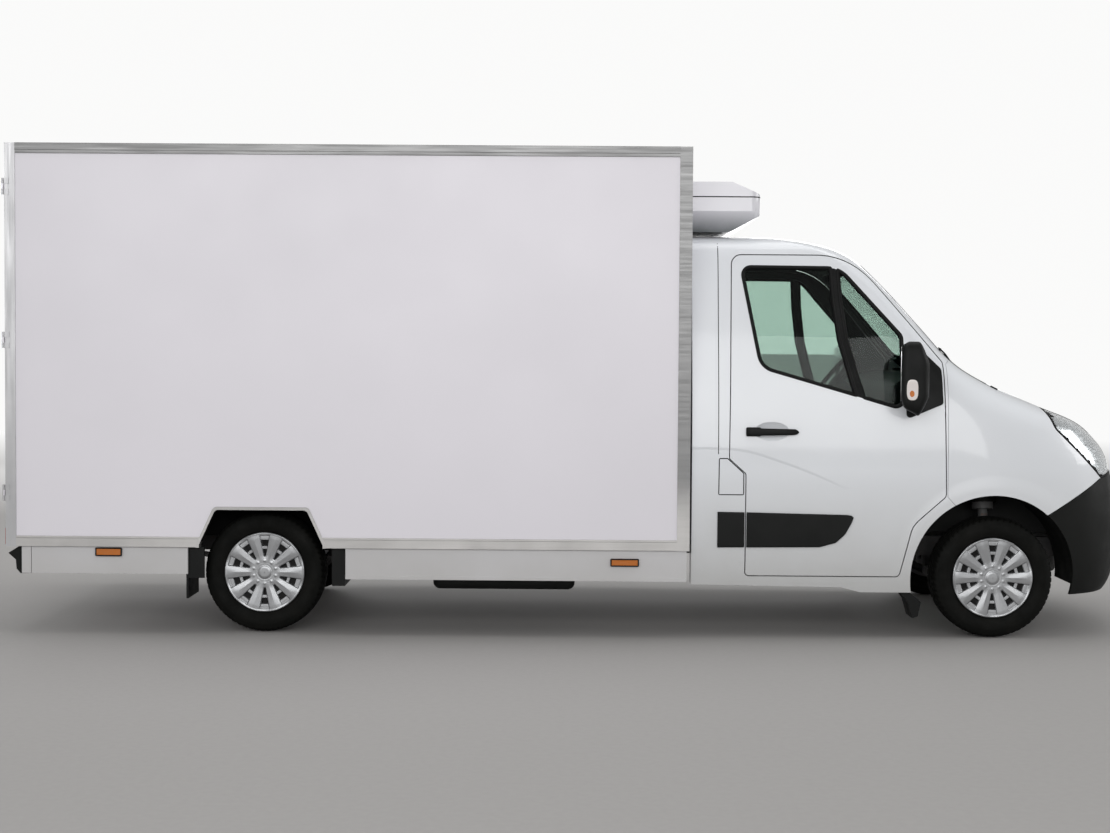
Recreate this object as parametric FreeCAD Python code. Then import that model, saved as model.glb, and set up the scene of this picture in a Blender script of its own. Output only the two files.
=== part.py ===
import FreeCAD, Part
import math
import os

# A small refrigerated truck: a van cab in front of an insulated box on a ladder frame.
# Millimetres. +X points forward, +Y to the left, +Z up, and Z = 0 is the road.
# X = 0 is the middle of the overall length. Places along the truck that belong to the
# cab are given from the front axle, and those of the box from its rear face.

V = FreeCAD.Vector

# Overall sizes
wheelbase = 4100.0
front_overhang = 890.0
rear_overhang = 1423.0
box_length = 3809.0
box_half_width = 1080.0
box_top = 2730.0
cab_half_width = 1035.0
roof_height = 2280.0

# Wheels and tyres
tyre_radius = 340.0
tyre_width = 215.0
rim_radius = 203.0
rim_width = 165.0
rim_wall = 9.0
flange_height = 14.0
flange_width = 7.0
wheel_disc = 10.0
disc_offset = 22.0
hub_radius = 62.0
hub_inner = 40.0
hub_outer = 52.0
stub_radius = 30.0
stub_clearance = 0.05
front_track = 1750.0
rear_track = 1730.0
cover_radius = 226.0
cover_sheet = 6.0
cover_face = 100.0
cover_hollow = 10.0
cap_radius = 33.0
cap_proud = 5.0
slot_count = 10
cover_windows = [(153.0, 190.0, 16.5, 26.5), (98.0, 135.0, 4.5, 12.5)]

# Steering and front suspension
kingpin_lean = 10.0
kingpin_y = 758.0
knuckle_bottom = 222.0
upright_radius = 32.0
strut_radius = 27.0
spring_radius = 60.0
spring_bottom = 705.0
strut_top = 880.0
tower_clearance = 14.0
tower_wall = 8.0
carrier_radius = 55.0
arm_height = 26.0
seat_gap = 0.3

# Cab skin, panels and glass
skin = 28.0
door_thickness = 55.0
pillar_depth = 75.0
flange_reach = 28.0
panel_gap = 4.0
door_gap = 6.0
glass = 6.0
glass_inset = 12.0
divider_width = 32.0
lamp_depth = 70.0
flap_thickness = 5.0
cab_rear = -1700.0
cab_rear_wall = 28.0
cab_floor_sheet = 30.0
sill_bottom = 258.0
jack_pad_place = -640.0
jack_pad_y = 915.0
jack_pad_length = 90.0
jack_pad_width = 50.0
jack_pad_height = 8.0
firewall = -330.0
firewall_sheet = 20.0

# Wheel arches
front_arch_radius = 468.0
front_arch_height = 340.0
arch_liner = 14.0
liner_inner_y = 545.0
rear_arch_top = 702.0
rear_arch_foot = 452.0
rear_arch_half = 345.0
arch_trim = 17.0

# Box walls, rails and doors
wall = 60.0
roof_wall = 60.0
floor_wall = 90.0
floor_bottom = 520.0
rail_bottom = 490.0
rail_height = 60.0
rail_proud = 6.0
rail_step = 18.0
rail_lip = 12.0
rail_lip_proud = 4.0
front_post = 70.0
rear_post_depth = 58.0
rear_post_width = 45.0
rear_header_height = 62.0
rear_door_gap = 6.0
hinge_radius = 6.5
hinge_offset = 7.5
hinge_height = 30.0
hinge_sheet = 5.0
lock_bar_radius = 11.0
lock_bar_y = 150.0
handle_proud = 42.0
wheel_box_height = 190.0
wheel_box_sheet = 8.0
wheel_box_inner_y = 700.0
wheel_box_half = 400.0
skirt_bottom = 330.0
skirt_sheet = 20.0
skirt_y = 1070.0

# Chassis
chassis_rail_y = 430.0
chassis_rail_width = 70.0
chassis_rail_height = 110.0
chassis_wall = 6.0
chassis_front = 560.0
crossmember_width = 70.0
beam_size = 70.0

# Derived places
rear_total = rear_overhang + handle_proud
front_axle_x = (wheelbase + rear_total - front_overhang) / 2.0
rear_axle_x = front_axle_x - wheelbase
box_rear = rear_axle_x - rear_overhang
box_front = box_rear + box_length
axle_height = tyre_radius
floor_top = floor_bottom + floor_wall
chassis_top = floor_bottom
chassis_bottom = chassis_top - chassis_rail_height
box_side = box_half_width
box_inner = box_side - wall
wall_top = box_top - roof_wall


def ahead(distance):
    """X of a place given from the front axle."""
    return front_axle_x + distance


def box(x0, x1, y0, y1, z0, z1):
    return Part.makeBox(x1 - x0, y1 - y0, z1 - z0, V(x0, y0, z0))


def cylinder(radius, start, end):
    axis = end - start
    return Part.makeCylinder(radius, axis.Length, start, axis)


def mirrored(shape):
    """The same shape on the other side of the truck."""
    return shape.mirror(V(0, 0, 0), V(0, 1, 0))


def both_sides(shape):
    return Part.makeCompound([shape, mirrored(shape)])


def rounded_wire(corners, place):
    """A closed outline with rounded corners. Each corner is (a, b, radius), and place turns
    a pair (a, b) into a point in space."""
    count = len(corners)
    pieces = []
    previous_end = None
    first_start = None
    for i in range(count):
        here = V(corners[i][0], corners[i][1], 0)
        back = V(corners[i - 1][0], corners[i - 1][1], 0) - here
        on = V(corners[(i + 1) % count][0], corners[(i + 1) % count][1], 0) - here
        radius = corners[i][2] if len(corners[i]) > 2 else 0.0
        back.normalize()
        on.normalize()
        half_angle = 0.5 * back.getAngle(on)
        if radius > 0 and half_angle < 1.569:
            reach = radius / math.tan(half_angle)
            start = here + back * reach
            end = here + on * reach
            middle_way = back + on
            middle_way.normalize()
            centre = here + middle_way * (radius / math.sin(half_angle))
            middle = centre - middle_way * radius
            pieces_here = Part.Arc(place(start), place(middle), place(end)).toShape()
        else:
            start = end = here
            pieces_here = None
        if previous_end is None:
            first_start = start
        elif (start - previous_end).Length > 1e-6:
            pieces.append(Part.makeLine(place(previous_end), place(start)))
        if pieces_here is not None:
            pieces.append(pieces_here)
        previous_end = end
    if (first_start - previous_end).Length > 1e-6:
        pieces.append(Part.makeLine(place(previous_end), place(first_start)))
    return Part.Wire(pieces)


def outline_face(wire, grow=0.0):
    """A flat face over an outline, grown by a distance, or shrunk where it is negative."""
    if grow != 0.0:
        wire = wire.makeOffset2D(grow)
    return Part.Face(wire)


def side_prism(corners, y0, y1, grow=0.0):
    """A prism along Y over an outline of (distance from the front axle, Z, radius)."""
    wire = rounded_wire(corners, lambda p: V(ahead(p.x), y0, p.y))
    return outline_face(wire, grow).extrude(V(0, y1 - y0, 0))


def front_prism(corners, x0, x1, grow=0.0):
    """A prism along X over an outline of (Y, Z, radius)."""
    wire = rounded_wire(corners, lambda p: V(ahead(x0), p.x, p.y))
    return outline_face(wire, grow).extrude(V(x1 - x0, 0, 0))


def plan_prism(corners, z0, z1, grow=0.0):
    """A prism along Z over an outline of (distance from the front axle, Y, radius)."""
    wire = rounded_wire(corners, lambda p: V(ahead(p.x), p.y, z0))
    return outline_face(wire, grow).extrude(V(0, 0, z1 - z0))


def biggest(shape):
    """The largest solid of a shape, as a clean solid."""
    return max(shape.Solids, key=lambda solid: solid.Volume)


# The cab's outer form
# Each level is one horizontal section of the cab. It runs along the side, then round the
# corner to the middle of the front. With f the distance from the middle over the half
# width, the front lies at start + (end - bulge f^2 - start) * sqrt(1 - f^n).
# Values: height, half width, start, end, bulge and n. The roof's levels close up on its
# ridge, and the nose levels end at the front overhang.
nominal_nose = 890.0
nominal_roof = 2280.0
nominal_half_width = 1035.0
waist_height = 1500.0
cab_levels = [
    (240, 1000, -100, 820, 250, 8),
    (300, 1012, -100, 857, 260, 8),
    (400, 1026, -100, 881, 270, 8),
    (550, 1034, -100, 890, 270, 8),
    (700, 1035, -100, 889, 270, 8),
    (820, 1035, -100, 872, 268, 8),
    (920, 1034, -110, 843, 250, 8),
    (1000, 1032, -130, 815, 230, 8),
    (1070, 1029, -150, 770, 210, 8),
    (1130, 1026, -175, 708, 180, 8),
    (1180, 1023, -200, 636, 130, 8),
    (1230, 1019, -230, 535, 90, 8),
    (1280, 1014, -260, 400, 65, 8),
    (1330, 1008, -300, 275, 60, 8),
    (1380, 1001, -340, 152, 60, 8),
    (1440, 991, -362, 28, 70, 9),
    (1510, 978, -390, -82, 95, 10),
    (1590, 963, -425, -173, 110, 12),
    (1700, 942, -490, -280, 100, 13),
    (1820, 919, -585, -390, 95, 14),
    (1930, 898, -680, -492, 90, 14),
    (2030, 878, -785, -590, 85, 13),
    (2100, 862, -870, -665, 80, 12),
    (2150, 846, -945, -728, 80, 10),
    (2190, 824, -1035, -800, 80, 8),
    (2220, 792, -1130, -880, 80, 6),
    (2243, 736, -1235, -965, 80, 5),
    (2259, 640, -1330, -1055, 70, 4),
    (2268, 525, -1400, -1140, 60, 4),
    (2274, 400, -1455, -1220, 50, 4),
    (2278, 265, -1500, -1295, 40, 4),
    (2279.6, 130, -1535, -1360, 20, 4),
    (2280, 0, -1560, -1410, 0, 4),
]
side_steps = 7
corner_steps = 6
front_steps = 9
corner_turn = math.radians(60)


def level_points(height, half_width, start, end, bulge, n):
    """One level from the cab's rear corner to the middle of its front."""
    half_width = half_width * cab_half_width / nominal_half_width
    if height > waist_height:
        stretch = (roof_height - waist_height) / (nominal_roof - waist_height)
        height = waist_height + (height - waist_height) * stretch
    if end > 0:
        end = end * front_overhang / nominal_nose
    points = []
    for i in range(side_steps):
        x = cab_rear + (start - cab_rear) * i / side_steps
        points.append(V(ahead(x), half_width, height))
    for i in range(corner_steps + 1):
        turn = corner_turn * i / corner_steps
        f = math.cos(turn) ** (2.0 / n)
        x = start + (end - bulge * f * f - start) * math.sin(turn)
        points.append(V(ahead(x), half_width * f, height))
    f_corner = math.cos(corner_turn) ** (2.0 / n)
    for i in range(1, front_steps + 1):
        f = f_corner * (front_steps - i) / front_steps
        x = start + (end - bulge * f * f - start) * math.sqrt(1.0 - f ** n)
        points.append(V(ahead(x), half_width * f, height))
    return points


def inset_grid(grid, depth):
    """The level points moved in by depth along the surface's own normals."""
    rows, columns = len(grid), len(grid[0])
    moved = []
    for i in range(rows):
        row = []
        for j in range(columns):
            along = grid[i][min(j + 1, columns - 1)] - grid[i][max(j - 1, 0)]
            upward = grid[min(i + 1, rows - 1)][j] - grid[max(i - 1, 0)][j]
            normal = along.cross(upward)
            if i == rows - 1:
                normal = V(0, 0, -1)
            if normal.Length > 0:
                normal.normalize()
            if j == columns - 1:
                normal.y = 0.0
            if i == 0:
                normal.z = 0.0
            row.append(grid[i][j] + normal * depth)
        moved.append(row)
    return moved


def half_body(grid):
    """The left half of a cab form: one smooth skin closed by three flat faces."""
    surface = Part.BSplineSurface()
    surface.interpolate(grid)
    skin_face = surface.toShape()
    rear_bottom = grid[0][0]
    nose_bottom = grid[0][-1]
    spine_rear = grid[-1][0]
    foot = V(rear_bottom.x, 0, rear_bottom.z)
    floor_edge, middle_edge, spine_edge, rear_edge = boundary_edges(skin_face, grid)
    to_foot = Part.makeLine(nose_bottom, foot)
    foot_side = Part.makeLine(foot, rear_bottom)
    back_line = Part.makeLine(foot, spine_rear)
    bottom = Part.Face(Part.Wire(Part.__sortEdges__([floor_edge, to_foot, foot_side])))
    middle = Part.Face(Part.Wire(Part.__sortEdges__([middle_edge, to_foot, back_line, spine_edge])))
    back = Part.Face(Part.Wire(Part.__sortEdges__([rear_edge, foot_side, back_line])))
    shell = Part.Shell([skin_face, bottom, middle, back])
    shell.sewShape()
    solid = Part.Solid(shell)
    if solid.Volume < 0:
        solid.reverse()
    return solid


def boundary_edges(face, grid):
    """The face's edges at its floor, its middle, its spine and its rear, in that order."""
    def nearest(first, last):
        def distance(edge):
            ends = [vertex.Point for vertex in edge.Vertexes]
            straight = (ends[0] - first).Length + (ends[-1] - last).Length
            turned = (ends[0] - last).Length + (ends[-1] - first).Length
            return min(straight, turned)
        return min(face.Edges, key=distance)
    floor_edge = nearest(grid[0][0], grid[0][-1])
    middle_edge = nearest(grid[0][-1], grid[-1][-1])
    spine_edge = nearest(grid[-1][0], grid[-1][-1])
    rear_edge = nearest(grid[0][0], grid[-1][0])
    return floor_edge, middle_edge, spine_edge, rear_edge


def cab_body(depth):
    """The whole cab form as a solid, its skin moved in by depth."""
    grid = [level_points(*level) for level in cab_levels]
    if depth != 0:
        grid = inset_grid(grid, depth)
    half = half_body(grid)
    return half.fuse(mirrored(half))


bodies = {}


def form(depth):
    """The cab form at a depth under its skin, made once."""
    if depth not in bodies:
        bodies[depth] = cab_body(depth)
    return bodies[depth]


def layer(outline, start, end):
    """What lies between two depths under the cab's skin, within a solid outline."""
    return form(start).common(outline).cut(form(end))


def shifted_form(depth):
    """The cab form moved sideways, for the thick pieces of its left side."""
    body = form(0).copy()
    body.translate(V(0, -depth, 0))
    return body


def side_layer(outline, start, end):
    """What lies between two depths under the cab's left side, measured across the truck."""
    return shifted_form(start).common(outline).cut(shifted_form(end))


# Outlines on the cab seen from its side: distance from the front axle, Z, corner radius
door_outline = [
    (-1402, 345, 25), (-1402, 919, 15), (-1495, 1003, 15), (-1480, 2153, 60),
    (-797, 2153, 430), (-290, 1551, 30), (-277, 800, 40), (-462, 635, 140), (-535, 345, 30),
]
window_outline = [
    (-1428, 2083, 50), (-868, 2079, 160), (-522, 1694, 60), (-513, 1278, 50), (-1318, 1510, 110),
]
divider_line = [(-900, 2100), (-886, 1895), (-855, 1671), (-790, 1441), (-755, 1330)]
flap_outline = [(-1551, 1008, 8), (-1500, 1008, 8), (-1408, 924, 8), (-1408, 800, 8), (-1553, 800, 8)]
front_outline = [
    (-273, 1540, 0), (-235, 1568, 0), (-95, 1472, 0), (1200, 1472, 0), (1200, 60, 0),
    (-215, 60, 0), (-215, 735, 0), (-273, 798, 0),
]
lamp_outline = [(300, 1310, 0), (352, 1180, 60), (655, 892, 15), (1200, 935, 0), (1200, 1310, 0)]
bumper_outline = [
    (270, 676, 0), (636, 889, 60), (735, 912, 0), (1200, 925, 0), (1200, 60, 0), (270, 60, 0),
]
sill_cut = [
    (-2000, 300, 0), (-860, 286, 30), (-750, sill_bottom, 30), (0, sill_bottom, 0), (0, 0, 0), (-2000, 0, 0),
]

# The bonnet's outline seen from above, given where its edge walls pass through one height.
# The walls lean forward by the slant, so that the bonnet can swing up about its rear edge.
bonnet_height = 1100.0
bonnet_slant = 0.55
bonnet_outline = [
    (-184, -795, 40), (-184, 795, 40), (223, 730, 150), (617, 560, 120), (685, 250, 300),
    (685, -250, 300), (617, -560, 120), (223, -730, 150),
]

# Outlines seen from the front
screen_outline = [
    (-800, 1562, 50), (-350, 1532, 900), (350, 1532, 900), (800, 1562, 50),
    (722, 2092, 60), (300, 2112, 900), (-300, 2112, 900), (-722, 2092, 60),
]
cowl_half_width = 800.0
lamp_inner_y = 440.0
intake_half_width = 520.0
intake_bottom = 350.0
intake_top = 560.0


def front_arch(radius):
    """The round opening over both front wheels, as a cylinder across the truck."""
    middle = V(ahead(-5), 0, front_arch_height)
    reach = V(0, cab_half_width + 100, 0)
    return cylinder(radius, middle - reach, middle + reach)


def left_side(corners, grow=0.0):
    return side_prism(corners, 600, 1200, grow)


def door_pillar():
    """The thick edge round the left door opening, with the flange behind the door."""
    ring = left_side(door_outline, 30).cut(left_side(door_outline))
    pillar = side_layer(ring, 0, pillar_depth)
    pillar = pillar.cut([side_prism(front_outline, 0, 1200), front_prism(screen_outline, -1000, 600)])
    behind = box(ahead(cab_rear), ahead(-900), 0, 1200, 0, 2400)
    ring = left_side(door_outline).cut(left_side(door_outline, -flange_reach))
    flange = side_layer(ring.common(behind), door_thickness + seat_gap, pillar_depth)
    return [pillar, flange]


def arch_room(radius):
    """The room over both front wheels, outboard of the inner cheeks."""
    middle = box(-4000, 4000, -liner_inner_y, liner_inner_y, 0, 2000)
    return front_arch(radius).cut(middle)


def cab_floor_and_walls():
    """The cab's rear wall, floor, firewall and sills, up to the inside of its skin."""
    rear_wall = box(ahead(cab_rear), ahead(cab_rear + cab_rear_wall), -1100, 1100, chassis_top, 2400)
    floor_edge = ahead(firewall)
    floor = box(ahead(cab_rear), floor_edge, -1100, 1100, chassis_top, chassis_top + cab_floor_sheet)
    wall_ahead = box(floor_edge, floor_edge + firewall_sheet, -1100, 1100, chassis_top, 1450)
    sill = box(ahead(cab_rear), ahead(-470), 870, 960, 0, chassis_top)
    pieces = rear_wall.fuse([floor, wall_ahead, sill, mirrored(sill)]).common(form(skin))
    door_room = side_layer(left_side(door_outline), 0, door_thickness + door_gap)
    return pieces.cut([arch_room(front_arch_radius + arch_liner), door_room, mirrored(door_room)])


def jack_pad():
    """The jacking pad under the left sill."""
    half = jack_pad_length / 2
    return box(ahead(jack_pad_place - half), ahead(jack_pad_place + half),
               jack_pad_y - jack_pad_width / 2, jack_pad_y + jack_pad_width / 2,
               sill_bottom - jack_pad_height, sill_bottom + 10)


def cab_shell():
    shell = form(0).cut(form(skin))
    shell = shell.cut(side_prism(front_outline, -1200, 1200))
    shell = shell.cut(both_sides(left_side(door_outline)))
    shell = shell.cut(front_prism(screen_outline, -1000, 600))
    pieces = door_pillar()
    shell = shell.fuse(pieces + [mirrored(piece) for piece in pieces])
    shell = shell.fuse(cab_floor_and_walls())
    shell = shell.cut(arch_room(front_arch_radius))
    shell = shell.cut(side_prism(sill_cut, -1200, 1200))
    pad = jack_pad()
    shell = shell.fuse([pad, mirrored(pad)])
    pocket = side_layer(left_side(flap_outline), 0, flap_thickness + seat_gap)
    return biggest(shell.cut(mirrored(pocket)))


def fuel_flap():
    return mirrored(side_layer(left_side(flap_outline, -door_gap), 0, flap_thickness))


def cab_door():
    """The left door with its window opening and the bar that divides it."""
    door = side_layer(left_side(door_outline, -door_gap), 0, door_thickness)
    door = door.cut(left_side(window_outline))
    return biggest(door.fuse(window_bar()))


def window_bar():
    left = [(x - divider_width / 2, z) for x, z in divider_line]
    right = [(x + divider_width / 2, z) for x, z in reversed(divider_line)]
    strip = left_side(left + right).common(left_side(window_outline))
    return layer(strip, glass_inset - 4, glass_inset + 2 * glass)


def door_glass():
    return layer(left_side(window_outline), glass_inset, glass_inset + glass).cut(window_bar())


def windscreen():
    pane = front_prism(screen_outline, -1000, 600)
    return layer(pane, glass, 2 * glass)


def bonnet_area(grow=0.0):
    """The room that the bonnet takes, through the whole height of the nose."""
    below = 180.0
    rise = 700.0
    start = V(-bonnet_slant * below, 0, bonnet_height - below)
    wire = rounded_wire(bonnet_outline, lambda p: V(ahead(p.x), p.y, 0) + start)
    return outline_face(wire, grow).extrude(V(bonnet_slant * rise, 0, rise))


def bonnet():
    return layer(bonnet_area(-door_gap), 0, skin)


def cowl():
    strip = side_prism(front_outline, -cowl_half_width, cowl_half_width)
    strip = strip.common(box(ahead(-400), ahead(8), -cowl_half_width, cowl_half_width, 1200, 1700))
    screen = front_prism(screen_outline, -1000, 600, panel_gap)
    return biggest(layer(strip.cut([bonnet_area(), screen]), 0, skin))


def front_wings():
    """Both front wings, from the door to the lamp and the bumper."""
    area = left_side(front_outline, -panel_gap / 2)
    area = area.cut(bonnet_area())
    area = area.cut(box(ahead(-400), ahead(8), 0, cowl_half_width + panel_gap, 1200, 1700))
    area = area.cut(side_prism(lamp_outline, 300, 1200, panel_gap))
    area = area.cut(side_prism(bumper_outline, 0, 1200, panel_gap))
    area = area.cut(front_arch(front_arch_radius))
    return both_sides(biggest(layer(area, 0, skin)))


def headlamps():
    area = side_prism(lamp_outline, lamp_inner_y, 1200)
    area = area.cut(bonnet_area())
    area = area.cut(side_prism(bumper_outline, 0, 1200, panel_gap))
    return both_sides(biggest(layer(area, 0, lamp_depth)))


def upper_grille():
    """The slatted panel between the lamps, under the bonnet's front edge."""
    half_width = lamp_inner_y - panel_gap
    area = box(ahead(300), ahead(1200), -half_width, half_width, 916, 1300)
    area = area.cut(bonnet_area()).cut(side_prism(bumper_outline, -1200, 1200, panel_gap))
    panel = layer(area, 0, skin)
    slots = [box(ahead(300), ahead(1200), -half_width + 30, half_width - 30, z, z + 22)
             for z in (950, 990, 1030, 1070)]
    return biggest(panel.cut(slots))


def lower_grille():
    area = box(ahead(500), ahead(1200), -intake_half_width, intake_half_width, intake_bottom, intake_top)
    panel = layer(area, 8, skin)
    slots = [box(ahead(500), ahead(1200), -intake_half_width + 20, intake_half_width - 20, z, z + 26)
             for z in (368, 416, 464, 512)]
    return panel.cut(slots)


def front_bumper():
    area = side_prism(bumper_outline, -1200, 1200).cut(front_arch(front_arch_radius))
    bumper = layer(area, 0, skin)
    intake = box(ahead(500), ahead(1200), -intake_half_width, intake_half_width, intake_bottom, intake_top)
    return biggest(bumper.cut(intake))


def front_carrier():
    """The frame behind the nose that carries bumper, grille, lamps and bonnet stops."""
    lower = box(ahead(545), ahead(1200), -700, 700, 600, 625)
    upper = box(ahead(545), ahead(1200), -500, 500, 862, 884)
    legs = [box(ahead(chassis_front), ahead(chassis_front + 40), y - 30, y + 30, chassis_bottom, 884)
            for y in (-chassis_rail_y, chassis_rail_y)]
    beam = box(ahead(chassis_front), ahead(chassis_front + 40), -chassis_rail_y, chassis_rail_y, 440, 500)
    rib = box(ahead(600), ahead(1200), lamp_inner_y - 32, lamp_inner_y, 870, 1080)
    frame = lower.fuse([upper, beam, rib, mirrored(rib)] + legs)
    frame = frame.common(form(skin))
    posts = [cylinder(14, V(ahead(570), y, 870), V(ahead(570), y, 1300)) for y in (-340, 340)]
    posts = Part.makeCompound(posts).common(form(skin + seat_gap))
    return biggest(frame.fuse(posts.Solids))


def kingpin_point(side, height):
    """A point on the steering axis, which leans in towards its top."""
    lean = math.tan(math.radians(kingpin_lean)) * (height - axle_height)
    return V(ahead(0), side * (kingpin_y - lean), height)


def along_kingpin(side, radius, bottom, top):
    return cylinder(radius, kingpin_point(side, bottom), kingpin_point(side, top))


def arch_liners():
    """The linings of the front arches, each with its strut tower."""
    side = 1
    ring = front_arch(front_arch_radius + arch_liner).cut(front_arch(front_arch_radius))
    keep = box(ahead(-600), ahead(600), liner_inner_y, 1200, 300, 1000)
    ring = ring.common(keep)
    cheek = front_arch(front_arch_radius + arch_liner).common(
        box(ahead(-600), ahead(600), liner_inner_y, liner_inner_y + arch_liner, 560, 1000))
    tower_radius = spring_radius + tower_clearance
    tower = along_kingpin(side, tower_radius + tower_wall, 740, strut_top + 12)
    brace = box(ahead(-255), ahead(250), 815, 835, 700, 1500)
    liner = ring.fuse([cheek, tower, brace])
    inner_room = box(ahead(-600), ahead(600), liner_inner_y + arch_liner, 1200, 0, 1000)
    tower_room = along_kingpin(side, tower_radius + tower_wall, 740, strut_top + 12)
    liner = liner.cut(front_arch(front_arch_radius).common(inner_room).cut(tower_room))
    liner = liner.cut(along_kingpin(side, tower_radius, 700, strut_top + seat_gap))
    liner = liner.common(form(skin))
    return both_sides(biggest(liner))


def knuckle():
    """The left knuckle with its strut, spring and stub axle."""
    upright = along_kingpin(1, upright_radius, knuckle_bottom, 430)
    strut = along_kingpin(1, strut_radius, 400, strut_top)
    spring = along_kingpin(1, spring_radius, spring_bottom, strut_top - 20)
    wheel_y = front_track / 2
    middle = V(ahead(0), 0, axle_height)
    carrier_start = middle + V(0, kingpin_y - 20, 0)
    carrier_end = middle + V(0, wheel_y - hub_inner - 6, 0)
    stub_end = middle + V(0, wheel_y + hub_outer - 8, 0)
    carrier = cylinder(carrier_radius, carrier_start, carrier_end)
    stub = cylinder(stub_radius - stub_clearance, middle + V(0, kingpin_y, 0), stub_end)
    arm = box(ahead(-130), ahead(0), kingpin_y - 18, kingpin_y + 12, 296, 322)
    return upright.fuse([strut, spring, carrier, stub, arm]).removeSplitter()


def front_subframe():
    """The cross beam under the engine with both lower arms."""
    beam = box(ahead(-110), ahead(90), -400, 400, 185, 245)
    legs = [box(ahead(-110), ahead(90), y - 35, y + 35, 185, chassis_bottom)
            for y in (-chassis_rail_y, chassis_rail_y)]
    joint = kingpin_point(1, knuckle_bottom)
    arm_points = [(-110, 440, 0), (90, 440, 0), (28, joint.y - 10, 0), (-28, joint.y - 10, 0)]
    arm = plan_prism(arm_points, 190, 190 + arm_height)
    boss = along_kingpin(1, upright_radius, 180, knuckle_bottom)
    boss.translate((kingpin_point(1, 180) - kingpin_point(1, 180 + seat_gap)))
    pieces = [arm, mirrored(arm), boss, mirrored(boss)] + legs
    return beam.fuse(pieces).removeSplitter()


def tyre_shape():
    """A tyre about the Y axis through the origin: arcs for tread, shoulders and walls."""
    half = tyre_width / 2
    bead = rim_width / 2 - flange_width
    flange = rim_radius + flange_height
    tread_edge = (tyre_radius - 5, half - 30)
    shoulder = (tyre_radius - 12, half - 17)
    wall_top_point = (tyre_radius - 26, half - 8)
    belly = (0.5 * (rim_radius + tyre_radius), half)
    wall_foot = (flange + 2, bead + 3)
    edges = [profile_arc((tyre_radius - 5, 30 - half), (tyre_radius, 0), tread_edge)]
    for sign in (1, -1):
        edges.append(profile_arc(tread_edge, shoulder, wall_top_point, sign))
        edges.append(profile_arc(wall_top_point, belly, wall_foot, sign))
        edges.append(profile_line(wall_foot, (flange + 0.3, bead), sign))
        edges.append(profile_line((flange + 0.3, bead), (rim_radius, bead), sign))
    edges.append(profile_line((rim_radius, bead), (rim_radius, -bead)))
    face = Part.Face(Part.Wire(Part.__sortEdges__(edges)))
    return face.revolve(V(0, 0, 0), V(0, 1, 0), 360)


def profile_arc(start, middle, end, sign=1):
    """An arc through three (radius, Y) points, on either side of the wheel."""
    return Part.Arc(*[V(0, sign * y, r) for r, y in (start, middle, end)]).toShape()


def profile_line(start, end, sign=1):
    return Part.makeLine(*[V(0, sign * y, r) for r, y in (start, end)])


def revolved(points):
    """A solid about the Y axis from an outline of (radius, Y) points."""
    corners = [V(0, y, r) for r, y in points]
    face = Part.Face(Part.makePolygon(corners + corners[:1]))
    return face.revolve(V(0, 0, 0), V(0, 1, 0), 360)


def wheel_shape():
    """A left wheel about the Y axis: rim, disc and hub behind a dished cover with slots."""
    half = rim_width / 2
    inner = rim_radius - rim_wall
    flange = rim_radius + flange_height
    rim = revolved([
        (inner, -half), (flange, -half), (flange, -half + flange_width), (rim_radius, -half + flange_width),
        (rim_radius, half - flange_width), (flange, half - flange_width), (flange, half), (inner, half),
    ])
    disc = revolved([
        (hub_radius - 5, disc_offset), (inner + 2, disc_offset),
        (inner + 2, disc_offset + wheel_disc), (hub_radius - 5, disc_offset + wheel_disc),
    ])
    hub = revolved([
        (stub_radius, -hub_inner), (hub_radius, -hub_inner), (hub_radius, hub_outer), (stub_radius, hub_outer),
    ])
    face = cover_face
    low = cover_face - cover_hollow
    cover = revolved([
        (0, low + cap_proud), (cap_radius, low + cap_proud), (cap_radius + 6, low),
        (120, low + 4), (195, face - 2), (cover_radius - 8, face - 3), (cover_radius, face - 8),
        (cover_radius - 2, face - 12), (cover_radius - 12, face - cover_sheet - 3),
        (flange - 2, half), (inner + 2, half), (196, face - cover_sheet - 2),
        (120, low + 4 - cover_sheet), (0, low - cover_sheet),
    ])
    cover = cover.cut(cover_slots())
    return rim.fuse([disc, hub, cover]).removeSplitter()


def cover_slots():
    """The windows in the cover, an outer and an inner one in each of its ten slots.
    Each window is (near radius, far radius, half width near the middle, half width outside)."""
    slots = []
    for i in range(slot_count):
        for near, far, near_half, far_half in cover_windows:
            outline = [(-near_half, near), (near_half, near), (far_half, far), (-far_half, far)]
            corners = [V(across, 40, along) for across, along in outline]
            face = Part.Face(Part.makePolygon(corners + corners[:1]))
            slot = face.extrude(V(0, 100, 0))
            slot.rotate(V(0, 0, 0), V(0, 1, 0), 360.0 * i / slot_count)
            slots.append(slot)
    return slots


def placed_wheel(shape, x, y):
    copy = shape.copy()
    copy.translate(V(x, y, axle_height))
    return copy


def rear_axle():
    """The dead rear beam with its stub axles."""
    x = rear_axle_x
    wheel_y = rear_track / 2
    beam = box(x - beam_size / 2, x + beam_size / 2, -750, 750, 262, 262 + beam_size)
    end = box(x - 65, x + 65, 730, 762, 262, axle_height + 65)
    middle = V(x, 0, axle_height)
    stub = cylinder(stub_radius - stub_clearance, middle + V(0, 750, 0), middle + V(0, wheel_y + hub_outer - 8, 0))
    carrier = cylinder(carrier_radius, middle + V(0, 755, 0), middle + V(0, wheel_y - hub_inner - 6, 0))
    left = [end, stub, carrier]
    return beam.fuse(left + [mirrored(piece) for piece in left]).removeSplitter()


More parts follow.
